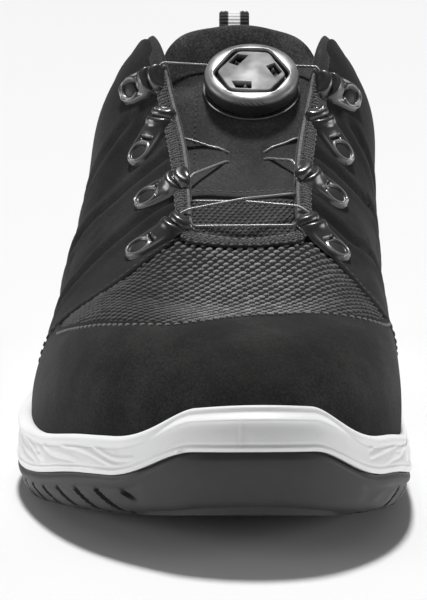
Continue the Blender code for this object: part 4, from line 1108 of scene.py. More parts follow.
def make_insole():
    n = 360
    s = np.arange(n) * SECTIONS / n
    edge = -(UPPER_INSET + WALL + 0.7)
    rings = [
        ring_at(s, edge - 0.9, lambda x, d: floor_z(x, d) + GAP),
        ring_at(s, edge - 0.1, lambda x, d: floor_z(x, d) + GAP + 0.8),
        ring_at(s, edge, lambda x, d: floor_z(x, d) + INSOLE_THICK - 1.6),
        ring_at(s, edge - 0.35, lambda x, d: floor_z(x, d) + INSOLE_THICK - 0.6),
        ring_at(s, edge - 1.4, lambda x, d: floor_z(x, d) + INSOLE_THICK - 0.1),
        ring_at(s, edge - 2.6, lambda x, d: floor_z(x, d) + INSOLE_THICK),
    ]
    points = np.concatenate(rings)
    faces = grid_faces(len(rings), n, True)
    more, more_faces = bridge(rings[0], 0, len(points), 6)
    points, faces = np.concatenate([points, more]), faces + more_faces

    def footbed(made, share, rows):
        made = made.copy()
        x, d = made[..., 0], made[..., 1]
        across = np.minimum(share, 1 - share)[None, :]
        rim = bump(across, 0.0, 0.10)
        heel = -1.3 * np.exp(-((x / 20) ** 2) - ((d - 255) / 26) ** 2)
        ball = -0.5 * np.exp(-(((x + 8) / 28) ** 2) - ((d - 90) / 24) ** 2)
        arch = 1.4 * np.exp(-(((x - 24) / 12) ** 2) - ((d - 165) / 34) ** 2)
        made[..., 2] = floor_z(x, d) + INSOLE_THICK + 0.5 * rim + heel + ball + arch
        return made

    more, more_faces = bridge(rings[-1], (len(rings) - 1) * n, len(points), 44, footbed)
    points, faces = np.concatenate([points, more]), faces + more_faces
    made = piece("insole_footbed", points, faces, FOOTBED, "insole_fabric", ["insole"])
    return made


# ---------------------------------------------------------------- upper
def read_line(line, key, value, at):
    """A seam read as one coordinate over the other; the key column must rise."""
    line = np.asarray(line, float)
    return even_curve(line[:, key], line[:, value], at)


def cap_share(s):
    return read_line(CAP_SEAM, 0, 1, np.clip(s, 7.0, 17.0))


def front_outer(t):
    return read_line(FRONT_OUTER, 1, 0, np.clip(t, 0, 1))


def front_inner(t):
    return read_line(FRONT_INNER, 1, 0, np.clip(t, 0, 1))


def rib_speed(s):
    """Millimetres per unit share at the top of the ribs."""
    i = np.round(np.asarray(s, float) % SECTIONS * PER_SECTION).astype(int) % len(FORM)
    return np.linalg.norm(FORM[i, -1] - FORM[i, -9], axis=-1) / 8 * (STEPS - 1)


def make_lining():
    """The inner shell of the upper, textile inside and out, under the panels."""
    n = 260
    s = (np.arange(n) * SECTIONS / n)[None, :]
    t = np.concatenate([np.linspace(0, 0.94, 30), np.linspace(0.95, 0.998, 6)])[:, None]
    s, t = np.broadcast_arrays(s, t)
    inner = on(s, t, -wall_thickness(s, t) * (1 - 0.35 * smooth_step(0.985, 1.0, t)))
    return piece("upper_lining", *shell(on(s, t, -0.35), inner, around=True), LINING, "upper_textile", ["upper"])


# Soft flex creases across the vamp behind the toe cap: depth, half width, points (x, d).
VAMP_CREASES = [
    (0.16, 6.0, [(-40, 76), (-28, 70), (-12, 66), (4, 68), (20, 70), (34, 80)]),
    (0.14, 6.0, [(-34, 98), (-18, 90), (-2, 86), (14, 90), (28, 99)]),
]


def plan_distance(points, line):
    flat = points.copy()
    flat[..., 2] = 0
    fine = open_curve(np.array([(x, d, 0.0) for x, d in line]), np.linspace(0, 1, 40))
    return away_from(flat, fine)


def vamp_relief(base, distance):
    height = np.zeros(base.shape[:2])
    for depth, half, line in VAMP_CREASES:
        gone = plan_distance(base, line)
        height += depth * (-bump(gone, 0, half) + 0.45 * bump(gone, 1.9 * half, half))
    return height


VAMP_LIFT = 0.25


def make_vamp():
    u = np.linspace(0, 1, 130)
    s = 7.9 + (16.1 - 7.9) * u[None, :]
    v = np.linspace(0, 1, 50)[:, None]
    low = cap_share(s) - 0.05
    t = low + (0.995 - low) * v
    s, t = np.broadcast_arrays(s, t)
    return panel("vamp_ground", s, t, VAMP_LIFT, GROUND, "upper_textile", bottom=-0.3, borders=(0, 0, 0, 0), relief=vamp_relief)


def vamp_grains():
    """Raised yarn grains of the vamp's weave, staggered row by row across the foot."""
    sections = np.linspace(8.0, 16.0, 321)
    t_all = np.linspace(0.25, 1, 400)
    table = on(sections[:, None], t_all[None, :])
    origins, longs, wides, normals = [], [], [], []
    for row, d in enumerate(np.arange(34.0, 112.0, 1.86)):
        # The section of the vamp at this distance from the toe: share up for each section.
        t = np.array([np.interp(d, column[:, 1], t_all, left=np.nan, right=np.nan) for column in table])
        ok = ~np.isnan(t)
        if ok.sum() < 8:
            continue
        ss, tt = sections[ok], t[ok]
        line = on(ss, tt)
        run = np.concatenate([[0], np.cumsum(np.linalg.norm(np.diff(line, axis=0), axis=1))])
        middle = np.interp(2.0, line[:, 0], run)
        at = np.arange(-70, 70) * 2.95 + (1.40 * row) % 2.95 + middle
        at = at[(at > run[0]) & (at < run[-1])]
        s_at, t_at = np.interp(at, run, ss), np.interp(at, run, tt)
        keep = ((t_at > cap_share(s_at) - 0.012) & (t_at < 0.975)
                & (s_at > 7.95) & (s_at < 16.05)
                & (s_at > front_outer(t_at) - 0.05) & (s_at < front_inner(t_at) + 0.05))
        s_at, t_at, at = s_at[keep], t_at[keep], at[keep]
        if len(at) == 0:
            continue
        base = on(s_at, t_at)
        lift = VAMP_LIFT + vamp_relief(base[None], None)[0]
        normal = out_at(s_at, t_at)
        across = unit(np.column_stack([np.interp(at + 0.5, run, line[:, c]) - np.interp(at - 0.5, run, line[:, c]) for c in range(3)]))
        back = np.cross(normal, across)
        back *= np.sign(back[:, 1])[:, None]
        turn = 1.12
        longs.append(unit(back * math.cos(turn) + across * math.sin(turn)))
        normals.append(normal)
        origins.append(base + normal * lift[:, None])
    origins, longs, normals = (np.concatenate(v) for v in (origins, longs, normals))
    wides = np.cross(normals, longs)
    size = 1 + 0.10 * RANDOM.standard_normal(len(origins))[:, None]
    base, faces = dome(10)
    # Painted shade: grains darker down the foot's sides than over its middle, where the light falls off, and each grain
    # a little different.
    tone = (0.62 + 0.38 * RANDOM.random(len(origins))) * (1 - 0.82 * smooth_step(7, 31, np.abs(origins[:, 0] - 4)))
    points, faces = many(base, faces, origins, longs * 1.04 * size, wides * 0.66 * size, normals * 0.50)
    return piece("vamp_weave", points, faces, GRAIN, "upper_textile", values={"tone": np.repeat(tone, len(base))})


TOE_LIFT, QUARTER_LIFT = 1.0, 1.3


def make_toe_panel(stitches):
    u = np.linspace(0, 1, 190)
    s = 7.2 + (16.8 - 7.2) * u[None, :]
    v = shares(62, 1.25)[:, None]
    t = cap_share(s) * v
    s, t = np.broadcast_arrays(s, t)

    def relief(base, distance):
        # A stitched channel along the seam, and the cap's front edge showing softly through.
        gone = plan_distance(base, [(-44, 62), (-34, 44), (-18, 29), (4, 24), (22, 28), (34, 42), (41, 60)])
        return -0.25 * bump(distance, 2.9, 0.7) + 0.25 * bump(gone, 0, 5.0)

    made = panel("toe_panel", s, t, TOE_LIFT, NUBUCK_TOE, "upper_textile", bottom=-0.3, edge=0.8, borders=(0, 1, 0, 0), relief=relief)
    for inset, start in ((2.9, 0.0),):
        line_s = np.linspace(8.4, 15.9, 260)
        line_t = cap_share(line_s)
        line_t = line_t - inset / (np.linalg.norm(on(line_s, line_t + 0.01) - on(line_s, line_t - 0.01), axis=1) / 0.02)
        stitch_row(stitches, on(line_s, line_t, TOE_LIFT - 0.10), out_at(line_s, line_t), 1.55, 0.95, 0.50, 0.12, start)
    return made


def top_share(s):
    """Where the quarters end: at the throat edge, and under the padded collar further back."""
    s = np.asarray(s, float) % SECTIONS
    from_heel = np.minimum(s, SECTIONS - s)
    return 0.862 + (0.990 - 0.862) * smooth_step(4.0, 4.8, from_heel) + 0.010 * smooth_step(4.2, 4.8, from_heel) * (1 - smooth_step(5.45, 5.75, from_heel))


def make_quarter(side, dark):
    """One side's quarter, from its front edge at the vamp to the seam at the back of the heel."""
    outer = side < 0
    bands, dashes = (BANDS_OUTER, DASHES_OUTER) if outer else (BANDS_INNER, DASHES_INNER)
    front = front_outer if outer else front_inner
    heel = 0.0 if outer else float(SECTIONS)
    u, v = shares(215, 1.38)[None, :], shares(92, 1.38)[:, None]
    s = front(v * 0.99) + (heel - front(v * 0.99)) * u
    t = v * top_share(np.where(outer, s, s - 1e-6))
    lines = [(depth, half, on(*along_line(line, 2.0))) for depth, half, line in bands]
    marks = [on(*along_line(line, 1.0)) for line in dashes]

    def relief(base, distance):
        height = np.zeros(base.shape[:2])
        for depth, half, line in lines:
            gone = away_from(base, line)
            height += depth * (-bump(gone, 0, 0.62 * half) + 0.42 * bump(gone, 2.3 * half, 1.1 * half))
        for line in marks:
            height += -0.55 * bump(away_from(base, line), 0, 0.75)
        # A soft break above the sole at the ball, and a hollow under the ankle.
        ball = plan_distance(base, [(-56, 100), (-50, 122), (-48, 140)] if outer else [(46, 92), (43, 116), (42, 138)])
        height += -0.35 * bump(ball, 0, 6) * bump(base[..., 2], 38, 8)
        return np.maximum(height, -1.15)

    made = panel("quarter_outer" if outer else "quarter_inner", s, t, QUARTER_LIFT, NUBUCK, "upper_textile", bottom=-0.3, edge=1.0,
                 borders=(0, 1, 1, 1), relief=relief)
    # A row of dark thread along the front edge, and one beside the heel seam.
    for inset, low, high in ((2.0, 0.16, 0.95),):
        line_t = np.linspace(low, high, 160)
        line_s = front(line_t) + (-1 if outer else 1) * inset / 30.0
        stitch_row(dark, on(line_s, line_t, QUARTER_LIFT - 0.02), out_at(line_s, line_t), 1.7, 1.0, 0.28, 0.05)
    line_t = np.linspace(0.22, 0.84, 120)
    line_s = np.full_like(line_t, 0.085 if outer else SECTIONS - 0.085)
    stitch_row(dark, on(line_s, line_t, QUARTER_LIFT - 0.02), out_at(line_s, line_t), 1.9, 1.0, 0.30, 0.08)
    return made


def make_collar(dark):
    """The padded collar: one soft roll from lobe to lobe round the heel, tapering into the throat."""
    s = np.linspace(-5.92, 5.92, 270)
    section = np.array([
        # share up, lift out, share of the wall's thickness taken inwards
        (0.835, 0.35, 0.0), (0.870, 1.75, 0.0), (0.915, 2.35, 0.0), (0.960, 2.0, 0.0), (0.995, 0.9, 0.0),
        (1.022, -0.6, 0.10), (1.030, -1.0, 0.45), (1.012, -0.8, 0.90), (0.965, -1.0, 1.08), (0.900, -1.2, 1.12),
        (0.800, -0.9, 1.08), (0.680, -0.5, 1.04), (0.560, -0.2, 1.02), (0.535, 0.4, 0.90), (0.680, 0.0, 0.55), (0.790, -0.2, 0.30),
    ])
    loop = closed_curve(section, np.linspace(0, len(section), 60, endpoint=False))
    fade = (1 - smooth_step(4.35, 5.45, np.abs(s)))[:, None]
    t = 1 - (1 - loop[None, :, 0]) * np.where(loop[None, :, 0] > 1, 1, 1)
    t = np.where(t > 1, 1 + (t - 1) * fade, t)
    t = t - 0.020 * (1 - fade)
    ss = np.broadcast_to(s[:, None], t.shape)
    lift = loop[None, :, 1] * (0.15 + 0.85 * fade) - loop[None, :, 2] * wall_thickness(ss, np.clip(t, 0, 1)) * (0.62 + 0.38 * fade)
    # Soft gathers where the roll bends at the ankle.
    gather = 0.16 * np.sin(ss * 9.0) * bump(np.abs(ss), 3.2, 1.1) * (loop[None, :, 2] < 0.5)
    points = on(ss, t, lift + gather)
    rows, columns = points.shape[:2]
    faces = grid_faces(rows, columns, True) + [list(range(columns)), list(range((rows - 1) * columns, rows * columns))[::-1]]
    made = piece("collar_pad", points, faces, COLLAR, "upper_textile", values={"border": np.full(rows * columns, 9.0)})
    line_s = np.linspace(-4.1, 4.1, 420)
    line_t = np.full_like(line_s, 0.838)
    stitch_row(dark, on(line_s, line_t, QUARTER_LIFT - 0.05), out_at(line_s, line_t), 1.9, 1.0, 0.30, 0.05)
    return made


def edge_place(s, inset, lift):
    """A point inset mm down from the throat edge at section s, lifted off the upper."""
    return on(s, 1 - np.asarray(inset, float) / rib_speed(s), lift)


TRIM_FROM, TRIM_TO = 4.98, 19.02


def make_trim():
    """Binding round the throat: a folded tape, a corded edge, a finer cord beside it and rows of thread."""
    fine = np.linspace(TRIM_FROM, TRIM_TO, 1400)
    edge = edge_place(fine, 0.0, 0.0)
    run = np.concatenate([[0], np.cumsum(np.linalg.norm(np.diff(edge, axis=0), axis=1))])
    s = np.interp(np.linspace(0, run[-1], 300), run, fine)
    section = np.array([(3.75, 0.9), (3.6, 1.62), (2.6, 1.80), (0.8, 1.80), (-0.8, 1.45), (-1.75, 0.75), (-2.1, -0.2),
                        (-1.7, -1.6), (-0.2, -2.9), (1.2, -3.0), (1.0, -1.2), (2.6, 0.3)])
    loop = closed_curve(section, np.linspace(0, len(section), 34, endpoint=False))

    def stand(at, low=0.25):
        """How far the binding stands off the upper: low on the lobes, full beside the throat."""
        from_heel = np.minimum(at, SECTIONS - at)
        return 0.10 + (low + (0.90 - low) * smooth_step(5.05, 5.75, from_heel)) * smooth_step(TRIM_FROM, TRIM_FROM + 0.15, from_heel)

    tall, wide = stand(s)[:, None], stand(s, 0.72)[:, None]
    points = edge_place(s[:, None] + 0 * loop[None, :, 0], np.where(loop[None, :, 0] < 0, loop[None, :, 0] * wide, loop[None, :, 0] * (0.35 + 0.65 * tall)), loop[None, :, 1] * tall)
    rows, columns = points.shape[:2]
    faces = grid_faces(rows, columns, True) + [list(range(columns)), list(range((rows - 1) * columns, rows * columns))[::-1]]
    piece("throat_tape", points, faces, TAPE, "upper_textile")
    rails = Heap()
    s_rail = np.interp(np.linspace(0, run[-1], 420), run, fine)
    tall = stand(s_rail)
    on_rail = np.minimum(s_rail, SECTIONS - s_rail) > 5.74
    rails.add(*tube(edge_place(s_rail, -1.75 * tall, 0.75 * tall)[on_rail], (0.05 + 0.47 * tall)[on_rail], 8))
    heap_piece("throat_rails", rails, RAIL, "upper_textile")
    # The tape's coarse weave: short grains row by row, and thread between them.
    weave, row_at = Heap(), np.linspace(0, run[-1], 420)
    for row, (inset, lift) in enumerate(((-0.95, 1.30), (-0.15, 1.66), (0.65, 1.80), (1.45, 1.82), (2.25, 1.82), (3.05, 1.78))):
        line = edge_place(s_rail, np.where(inset < 0, inset * tall, inset * (0.35 + 0.65 * tall)), lift * tall)
        at = np.arange(0.6 + 0.62 * (row % 2), run[-1] - 0.6, 1.24)
        at = at + 0.14 * RANDOM.standard_normal(len(at))
        section_at = np.interp(at, row_at, s_rail)
        at = at[np.minimum(section_at, SECTIONS - section_at) > 5.78]
        origin = np.column_stack([np.interp(at, row_at, line[:, c]) for c in range(3)])
        along = unit(np.column_stack([np.interp(at + 0.4, row_at, line[:, c]) - np.interp(at - 0.4, row_at, line[:, c]) for c in range(3)]))
        normal = out_at(np.interp(at, row_at, s_rail), np.full(len(at), 0.985))
        side = np.cross(normal, along)
        slant = unit(along + 0.55 * side)
        size = (0.45 + 0.55 * np.interp(at, row_at, tall))[:, None] * (1 + 0.12 * RANDOM.standard_normal(len(at))[:, None])
        weave.add(*many(*dome(7), origin, slant * 0.50 * size, np.cross(normal, slant) * 0.34 * size, normal * 0.20 * size))
    heap_piece("throat_weave", weave, TRIM_YARN, "upper_textile")
    pale, deep = Heap(), Heap()
    for heap, inset, lift, length, gap, radius in ((deep, -0.55, 1.62, 1.0, 1.2, 0.30), (deep, 2.65, 1.86, 1.3, 1.0, 0.30), (pale, 3.55, 1.62, 1.1, 1.5, 0.24)):
        line = edge_place(s_rail, np.where(inset < 0, inset * tall, inset * (0.35 + 0.65 * tall)), lift * tall)[on_rail]
        stitch_row(heap, line, out_at(s_rail, 0.985 + 0 * s_rail)[on_rail], length, gap, radius, 0.03)
    heap_piece("throat_stitches", pale, THREAD, "upper_textile")
    heap_piece("throat_stitches_dark", deep, THREAD_DARK, "upper_textile")


# ---------------------------------------------------------------- tongue
def tongue_grid(across=13, along=18, shoulder=0.30):
    line = np.array(TONGUE_LINE, float)

    def under(s, t, more=0.0):
        return on(s, t, -(wall_thickness(s, t) + 0.9 + more))

    rows = []
    for outer, inner, hidden, edge in TONGUE_ROWS:
        left, right = under(outer, edge), under(inner, edge)
        d = 0.5 * (left[1] + right[1])
        middle = np.array([0.5 * (left[0] + right[0]), d, float(even_curve(line[:, 0], line[:, 1], d))])
        rows.append([under(outer, hidden, 0.4), left, middle, right, under(inner, hidden, 0.4)])
    last = np.array(rows[-1])
    lift = np.array([1.0, line[-1][0], line[-1][1]]) - last[2]
    rows.append([p + lift * k for p, k in zip(last, (0.12, shoulder, 1.0, shoulder, 0.12))])
    bands = np.stack([open_curve(np.array(r), np.linspace(0, 1, across)) for r in rows])
    at = np.linspace(0, 1, along) if np.isscalar(along) else np.asarray(along)
    return np.stack([open_curve(bands[:, c], at) for c in range(across)], axis=1)


DIAL_X, DIAL_D = 4.6, 171.8
DIAL_AXIS = np.array([0.0, -math.sin(DIAL_TILT), math.cos(DIAL_TILT)])
DIAL_RIGHT = np.array([1.0, 0.0, 0.0])
DIAL_BACK = np.cross(DIAL_AXIS, DIAL_RIGHT)


def dial_seat():
    """The point on the dial's axis where its housing clears the tongue, as in the part."""
    grid = tongue_grid(across=41, along=80).reshape(-1, 3)
    line = np.array(TONGUE_LINE, float)
    centre = np.array([DIAL_X, DIAL_D, float(even_curve(line[:, 0], line[:, 1], DIAL_D))])
    reach = grid - centre
    height = reach @ DIAL_AXIS
    aside = np.linalg.norm(reach - height[:, None] * DIAL_AXIS, axis=1)
    under = aside < DIAL_RADIUS + 0.4
    cone = np.maximum(0, aside - (DIAL_RADIUS - 3.4)) / 3.7 * 0.85
    return centre + DIAL_AXIS * ((height - cone)[under].max() + GAP)


SEAT = dial_seat()
COVER_FROM = 131.6      # where the tongue's cover begins, over the woven part
first_middle = tongue_grid(121, 400)[:, 60, 1]
cover_share = float(np.interp(COVER_FROM, first_middle, np.linspace(0, 1, 400)))
TONGUE_AT = np.unique(np.concatenate([np.linspace(0, 1, 100), cover_share + np.linspace(-0.03, 0.03, 31)]))
TONGUE = tongue_grid(121, TONGUE_AT, 0.62)
# Full shoulders beside the lobes, clear of the dial.
beside_dial = np.linalg.norm(np.cross(TONGUE - SEAT, DIAL_AXIS), axis=-1)
TONGUE[..., 2] += ((0.9 + 2.6 * smooth_step(8.0, 26.0, np.abs(TONGUE[..., 0] - 2.2))) * smooth_step(0.76, 0.96, TONGUE_AT)[:, None]
                   * smooth_step(DIAL_RADIUS + 0.5, DIAL_RADIUS + 5, beside_dial))
TONGUE_OUT = grid_normals(TONGUE)
if TONGUE_OUT[..., 2].mean() < 0:
    TONGUE_OUT = -TONGUE_OUT


def tongue_relief(base):
    """Soft form of the tongue: a padded top, a fold where the padding begins, and sewn channels."""
    x, d = base[..., 0], base[..., 1]
    height = 0.7 * np.exp(-((x - 2) / 16) ** 2) * smooth_step(172, 184, d)
    fold = 176.0 - 3.5 * bump(x, 2.0, 14.0)
    height += -0.85 * bump(d, fold, 1.6) * smooth_step(4, 10, np.abs(x - 3)) + 0.35 * bump(d, fold - 5.0, 3.0)
    height += -0.85 * (1 - smooth_step(COVER_FROM - 0.7, COVER_FROM + 0.1, d)) + 0.18 * bump(d, COVER_FROM + 0.9, 0.8)
    # Padding that fills the hollow under the dial, and falls away in front of it.
    reach = base - SEAT
    below = -(reach @ DIAL_AXIS) - 0.15
    aside = np.linalg.norm(reach + (below + 0.15)[..., None] * DIAL_AXIS, axis=-1)
    height = height * smooth_step(DIAL_RADIUS, DIAL_RADIUS + 6, aside) + np.clip(below, 0, 9) * (1 - smooth_step(DIAL_RADIUS + 0.5, DIAL_RADIUS + 21, aside))
    # Shallow slits that the wire goes in by.
    for slit, high, low in SLITS:
        height += -0.55 * bump(x, slit, 0.8) * smooth_step(low - 2.2, low - 0.6, d) * (1 - smooth_step(high + 0.6, high + 2.2, d))
    return height


def plan_tree(points):
    tree = kdtree.KDTree(len(points))
    for i, p in enumerate(points):
        tree.insert((p[0], p[1], 0), i)
    tree.balance()
    return tree


TONGUE_TREE = plan_tree(TONGUE.reshape(-1, 3))


def tongue_at(x, d, lift=0.0):
    """Points on the tongue's outer face above plan places (x, d)."""
    x, d, lift = np.broadcast_arrays(*(np.asarray(v, float) for v in (x, d, lift)))
    flat, tree = TONGUE.reshape(-1, 3), TONGUE_TREE
    out = np.zeros(x.shape + (3,))
    normals = TONGUE_OUT.reshape(-1, 3)
    for index in np.ndindex(x.shape):
        found = tree.find_n((x[index], d[index], 0), 6)
        ids = [f[1] for f in found]
        weight = np.array([1 / (f[2] ** 2 + 0.02) for f in found])
        weight /= weight.sum()
        near, n = flat[ids], (normals[ids] * weight[:, None]).sum(0)
        n /= np.linalg.norm(n)
        # Each near point's plane, read at the wanted place.
        z = (near[:, 2] - (normals[ids][:, 0] * (x[index] - near[:, 0]) + normals[ids][:, 1] * (d[index] - near[:, 1])) / np.maximum(normals[ids][:, 2], 0.15))
        out[index] = np.array([x[index], d[index], float((z * weight).sum())])
        out[index] += n * (lift[index] + float(tongue_relief(out[index][None, None])[0, 0]))
    return out


def make_tongue(stitches, dark):
    rows, columns = TONGUE.shape[:2]
    across = np.abs(np.linspace(-1, 1, columns))
    up = np.linspace(0, 1, rows)[:, None]
    weight = (1 - 0.55 * smooth_step(0.6, 1.0, across)) * (0.5 + 0.5 * smooth_step(0.05, 0.45, up)) * (1 - 0.4 * smooth_step(0.93, 1.0, up))
    thick = TONGUE_THICK * weight
    distance = from_border(TONGUE, (0, 1, 1, 1))
    round_edge = np.sqrt(np.maximum(0.02, 1 - np.clip(1 - distance / (0.5 * thick), 0, 1) ** 2))
    relief = tongue_relief(TONGUE) * smooth_step(0, 5, distance)
    top = TONGUE + TONGUE_OUT * (relief - 0.5 * thick * (1 - round_edge))[..., None]
    bottom = TONGUE - TONGUE_OUT * (0.5 * thick * (1 + round_edge))[..., None]
    made = piece("tongue_pad", *shell(top, bottom), NUBUCK_TONGUE, "tongue_fabric", ["tongue"],
                 values={"border": np.full(2 * rows * columns, 9.0)})
    return made


def make_tongue_rows(stitches, dark):
    """Thread along the cover's lower edge and down its outer side."""
    for heap, x_line, d_line in (
        (stitches, np.linspace(-16, 19, 80), np.full(80, COVER_FROM + 1.9)),
        (dark, np.linspace(-12.6, -11.6, 60), np.linspace(146.0, 172.0, 60)),
    ):
        base = tongue_at(x_line, d_line)
        stitch_row(heap, base, tongue_at(x_line, d_line, 1.0) - base, 1.1, 1.0, 0.27, 0.02)


def tongue_weave():
    """The woven lower part of the tongue, below the cover."""
    origins, normals, longs = [], [], []
    for row, d in enumerate(np.arange(100.5, COVER_FROM - 0.6, 1.18)):
        half = np.interp(d, [101, 108, 120, 131], [19, 18, 19, 20])
        x = np.arange(-half - 1.9, half, 1.75) + (0.95 * row) % 1.75 + 2.0
        base = tongue_at(x, np.full_like(x, d))
        normal = unit(tongue_at(x, np.full_like(x, d), 1.0) - base)
        back = unit(np.array([0.8, 0.75, 0.5]) - normal * (normal @ np.array([0.8, 0.75, 0.5]))[:, None])
        origins.append(base)
        normals.append(normal)
        longs.append(back)
    origins, normals, longs = (np.concatenate(v) for v in (origins, normals, longs))
    size = 1 + 0.14 * RANDOM.standard_normal(len(origins))[:, None]
    base, faces = dome(8)
    heap = Heap()
    heap.add(*many(base, faces, origins, longs * 0.82 * size, np.cross(normals, longs) * 0.46 * size, normals * 0.38))
    return heap_piece("tongue_weave", heap, GRAIN_DARK, "tongue_fabric")


# ---------------------------------------------------------------- lace guides
class GuidePlace:
    """The line of a guide over the upper, and places on it: mm from its throat end, mm across to the toe side, height."""

    def __init__(self, s_in, t_in, s_out, t_out, past):
        share = np.linspace(0, 1.15, 116)
        line = on(s_in + (s_out - s_in) * share, t_in + (t_out - t_in) * share)
        normal = out_at(s_in + (s_out - s_in) * share, t_in + (t_out - t_in) * share)
        step = unit(line[0] - line[6])
        before = np.linspace(-12, -0.2, 40)
        self.line = np.concatenate([line[0] - step * before[:, None], line])
        self.normal = np.concatenate([np.repeat(unit(normal[:1]), 40, 0), normal])
        run = np.concatenate([[0], np.cumsum(np.linalg.norm(np.diff(self.line, axis=0), axis=1))])
        self.run = run - run[40] + past
        self.length = float(np.interp(1.0, share, self.run[40:]))
        forward, middle = unit(line[60] - line[40]), unit(normal[50])
        self.toe = -1.0 if np.cross(middle, forward)[1] > 0 else 1.0

    def at(self, along, across, height):
        along, across, height = np.broadcast_arrays(*(np.asarray(v, float) for v in (along, across, height)))

        def read(table):
            return np.stack([np.interp(along, self.run, table[:, c]) for c in range(3)], -1)

        here, normal = read(self.line), unit(read(self.normal))
        forward = unit(read(np.gradient(self.line, axis=0)))
        normal = unit(normal - forward * np.sum(normal * forward, -1)[..., None])
        side = np.cross(normal, forward) * self.toe
        return here + side * across[..., None] + normal * height[..., None]


GUIDE_LEAN = {"1": 15.0, "2": 9.0, "3": 7.0, "4": 6.0}    # degrees that each guide's face leans to the toe


def make_guide(name, *ends):
    """A smooth saddle: round foot with a ringed rivet, a slot across, and two curved rolls over the wire."""
    g = GuidePlace(*ends)
    length, half = g.length, GUIDE_WIDTH / 2
    a = (shares(length, 0.30, (0, 0.05, 0.14, 0.28, 0.46, 0.7)) * length)[:, None]
    b = np.concatenate([[-1, -0.988, -0.962, -0.925, -0.88, -0.83], np.linspace(-0.78, 0.78, 37), [0.83, 0.88, 0.925, 0.962, 0.988, 1]])[None, :]
    foot = np.clip((a - (length - half * 1.12)) / (half * 1.12), 0, 0.9995)
    nose = np.clip((1.6 - a) / 1.6, 0, 0.9995)
    wide = half * np.sqrt(1 - foot ** 2) * (0.72 + 0.28 * np.sqrt(1 - nose ** 2)) * (0.92 + 0.08 * smooth_step(0, 9, a))
    # Distance in from the rim, for the bevel.
    rim = np.minimum((1 - np.abs(b)) * wide, np.minimum((length - a) + 0 * b, a + 0.6 + 0 * b))
    arc = a + 1.5 * b ** 2
    slot_at = 0.50 * length + 1.2
    near = 1 - smooth_step(slot_at - 3.0, slot_at + 0.6, arc)
    round_off = np.sqrt(1 - 0.96 * b ** 2)
    top = 2.55 + 0.95 * near - (1.0 * near + 0.30) * np.abs(b) ** 2.2
    top = top + (1.35 * bump(arc, 6.0, 1.45) + 1.10 * bump(arc, 2.8, 1.25)) * round_off - 0.85 * bump(arc, 4.45, 0.40) - 0.9 * (1 - smooth_step(0.3, 1.6, arc))
    inner = 1 - smooth_step(0.40, 0.52, np.abs(b))
    top = top - 1.30 * bump(arc, slot_at, 0.42) * inner
    ring = np.sqrt(((a - (length - 4.7)) / (2.9 if name[-1] == "1" else 3.6)) ** 2 + (b * wide / 3.20) ** 2)
    top = top + 0.42 * bump(ring, 1.0, 0.10) - 0.45 * (1 - smooth_step(0.82, 0.93, ring)) + 0.22 * np.sqrt(np.maximum(0, 1 - (ring / 0.62) ** 2))
    top = top + 0.30 * bump(rim, 0.85, 0.32) * (1 - near)
    bevel = 1.15 * np.clip(1 - rim / 1.2, 0, 1) ** 2.0 * (1 - 0.4 * near)
    low = 0.9 + 0.6 * (1 - smooth_step(4.0, 0.52 * length, a)) + 0 * b
    lean = math.tan(math.radians(GUIDE_LEAN[name[-1]]))
    top = np.maximum(top - bevel, low + 0.3) + (0.8 * half - b * wide) * lean
    points, faces = shell(g.at(a + 0 * b, b * wide, top), g.at(a + 0 * b, b * wide, low))
    # The rivet well's mask: for its matt finish, and for the painted shade that darkens it.
    well = (1 - smooth_step(0.78, 0.88, ring)).ravel()
    # Painted highlights: the mask of the paler ring, rim bevel and slot edge.
    edge = np.clip(0.80 * bump(ring, 1.0, 0.075) + 0.50 * bump(rim, 0.85, 0.22) * (1 - near) + 0.30 * bump(arc, slot_at + 0.8, 0.22) * inner, 0, 1).ravel()
    return piece(name + "_saddle", points, faces, GUIDE, "guide_plastic", [name], sharp=60,
                 values={"well": np.concatenate([well, np.zeros_like(well)]), "edge": np.concatenate([edge, np.zeros_like(edge)])})


# ---------------------------------------------------------------- dial
PORT = 44.0     # degrees from straight back where the wire leaves the housing


def dial_at(radius, angle, height):
    radius, angle, height = np.broadcast_arrays(radius, angle, height)
    return (SEAT + DIAL_RIGHT * (radius * np.cos(angle))[..., None] + DIAL_BACK * (radius * np.sin(angle))[..., None]
            + DIAL_AXIS * height[..., None])


def cut_triangle(angle, long_edge, short_edge, power=16):
    """Radius of a triangle with its corners cut off and rounded, long edges at the front and both back sides."""
    total = np.zeros_like(angle)
    for k in range(3):
        for distance, at in ((long_edge, -90 + 120 * k), (short_edge, 90 + 120 * k)):
            total += (np.maximum(0, np.cos(angle - math.radians(at))) / distance) ** power
    return total ** (-1 / power)


def turned_rows(rows, n, closed_ends=True):
    """Rings given as rows of (radius, height) arrays round the dial's axis, joined and closed at both ends."""
    angle = 2 * np.pi * np.arange(n) / n
    rings = np.stack([dial_at(r + 0 * angle, angle, z + 0 * angle) for r, z in rows])
    points = rings.reshape(-1, 3)
    faces = grid_faces(len(rows), n, True)
    if closed_ends:
        faces += [list(range(n)), list(range((len(rows) - 1) * n, len(rows) * n))[::-1]]
    return points, faces


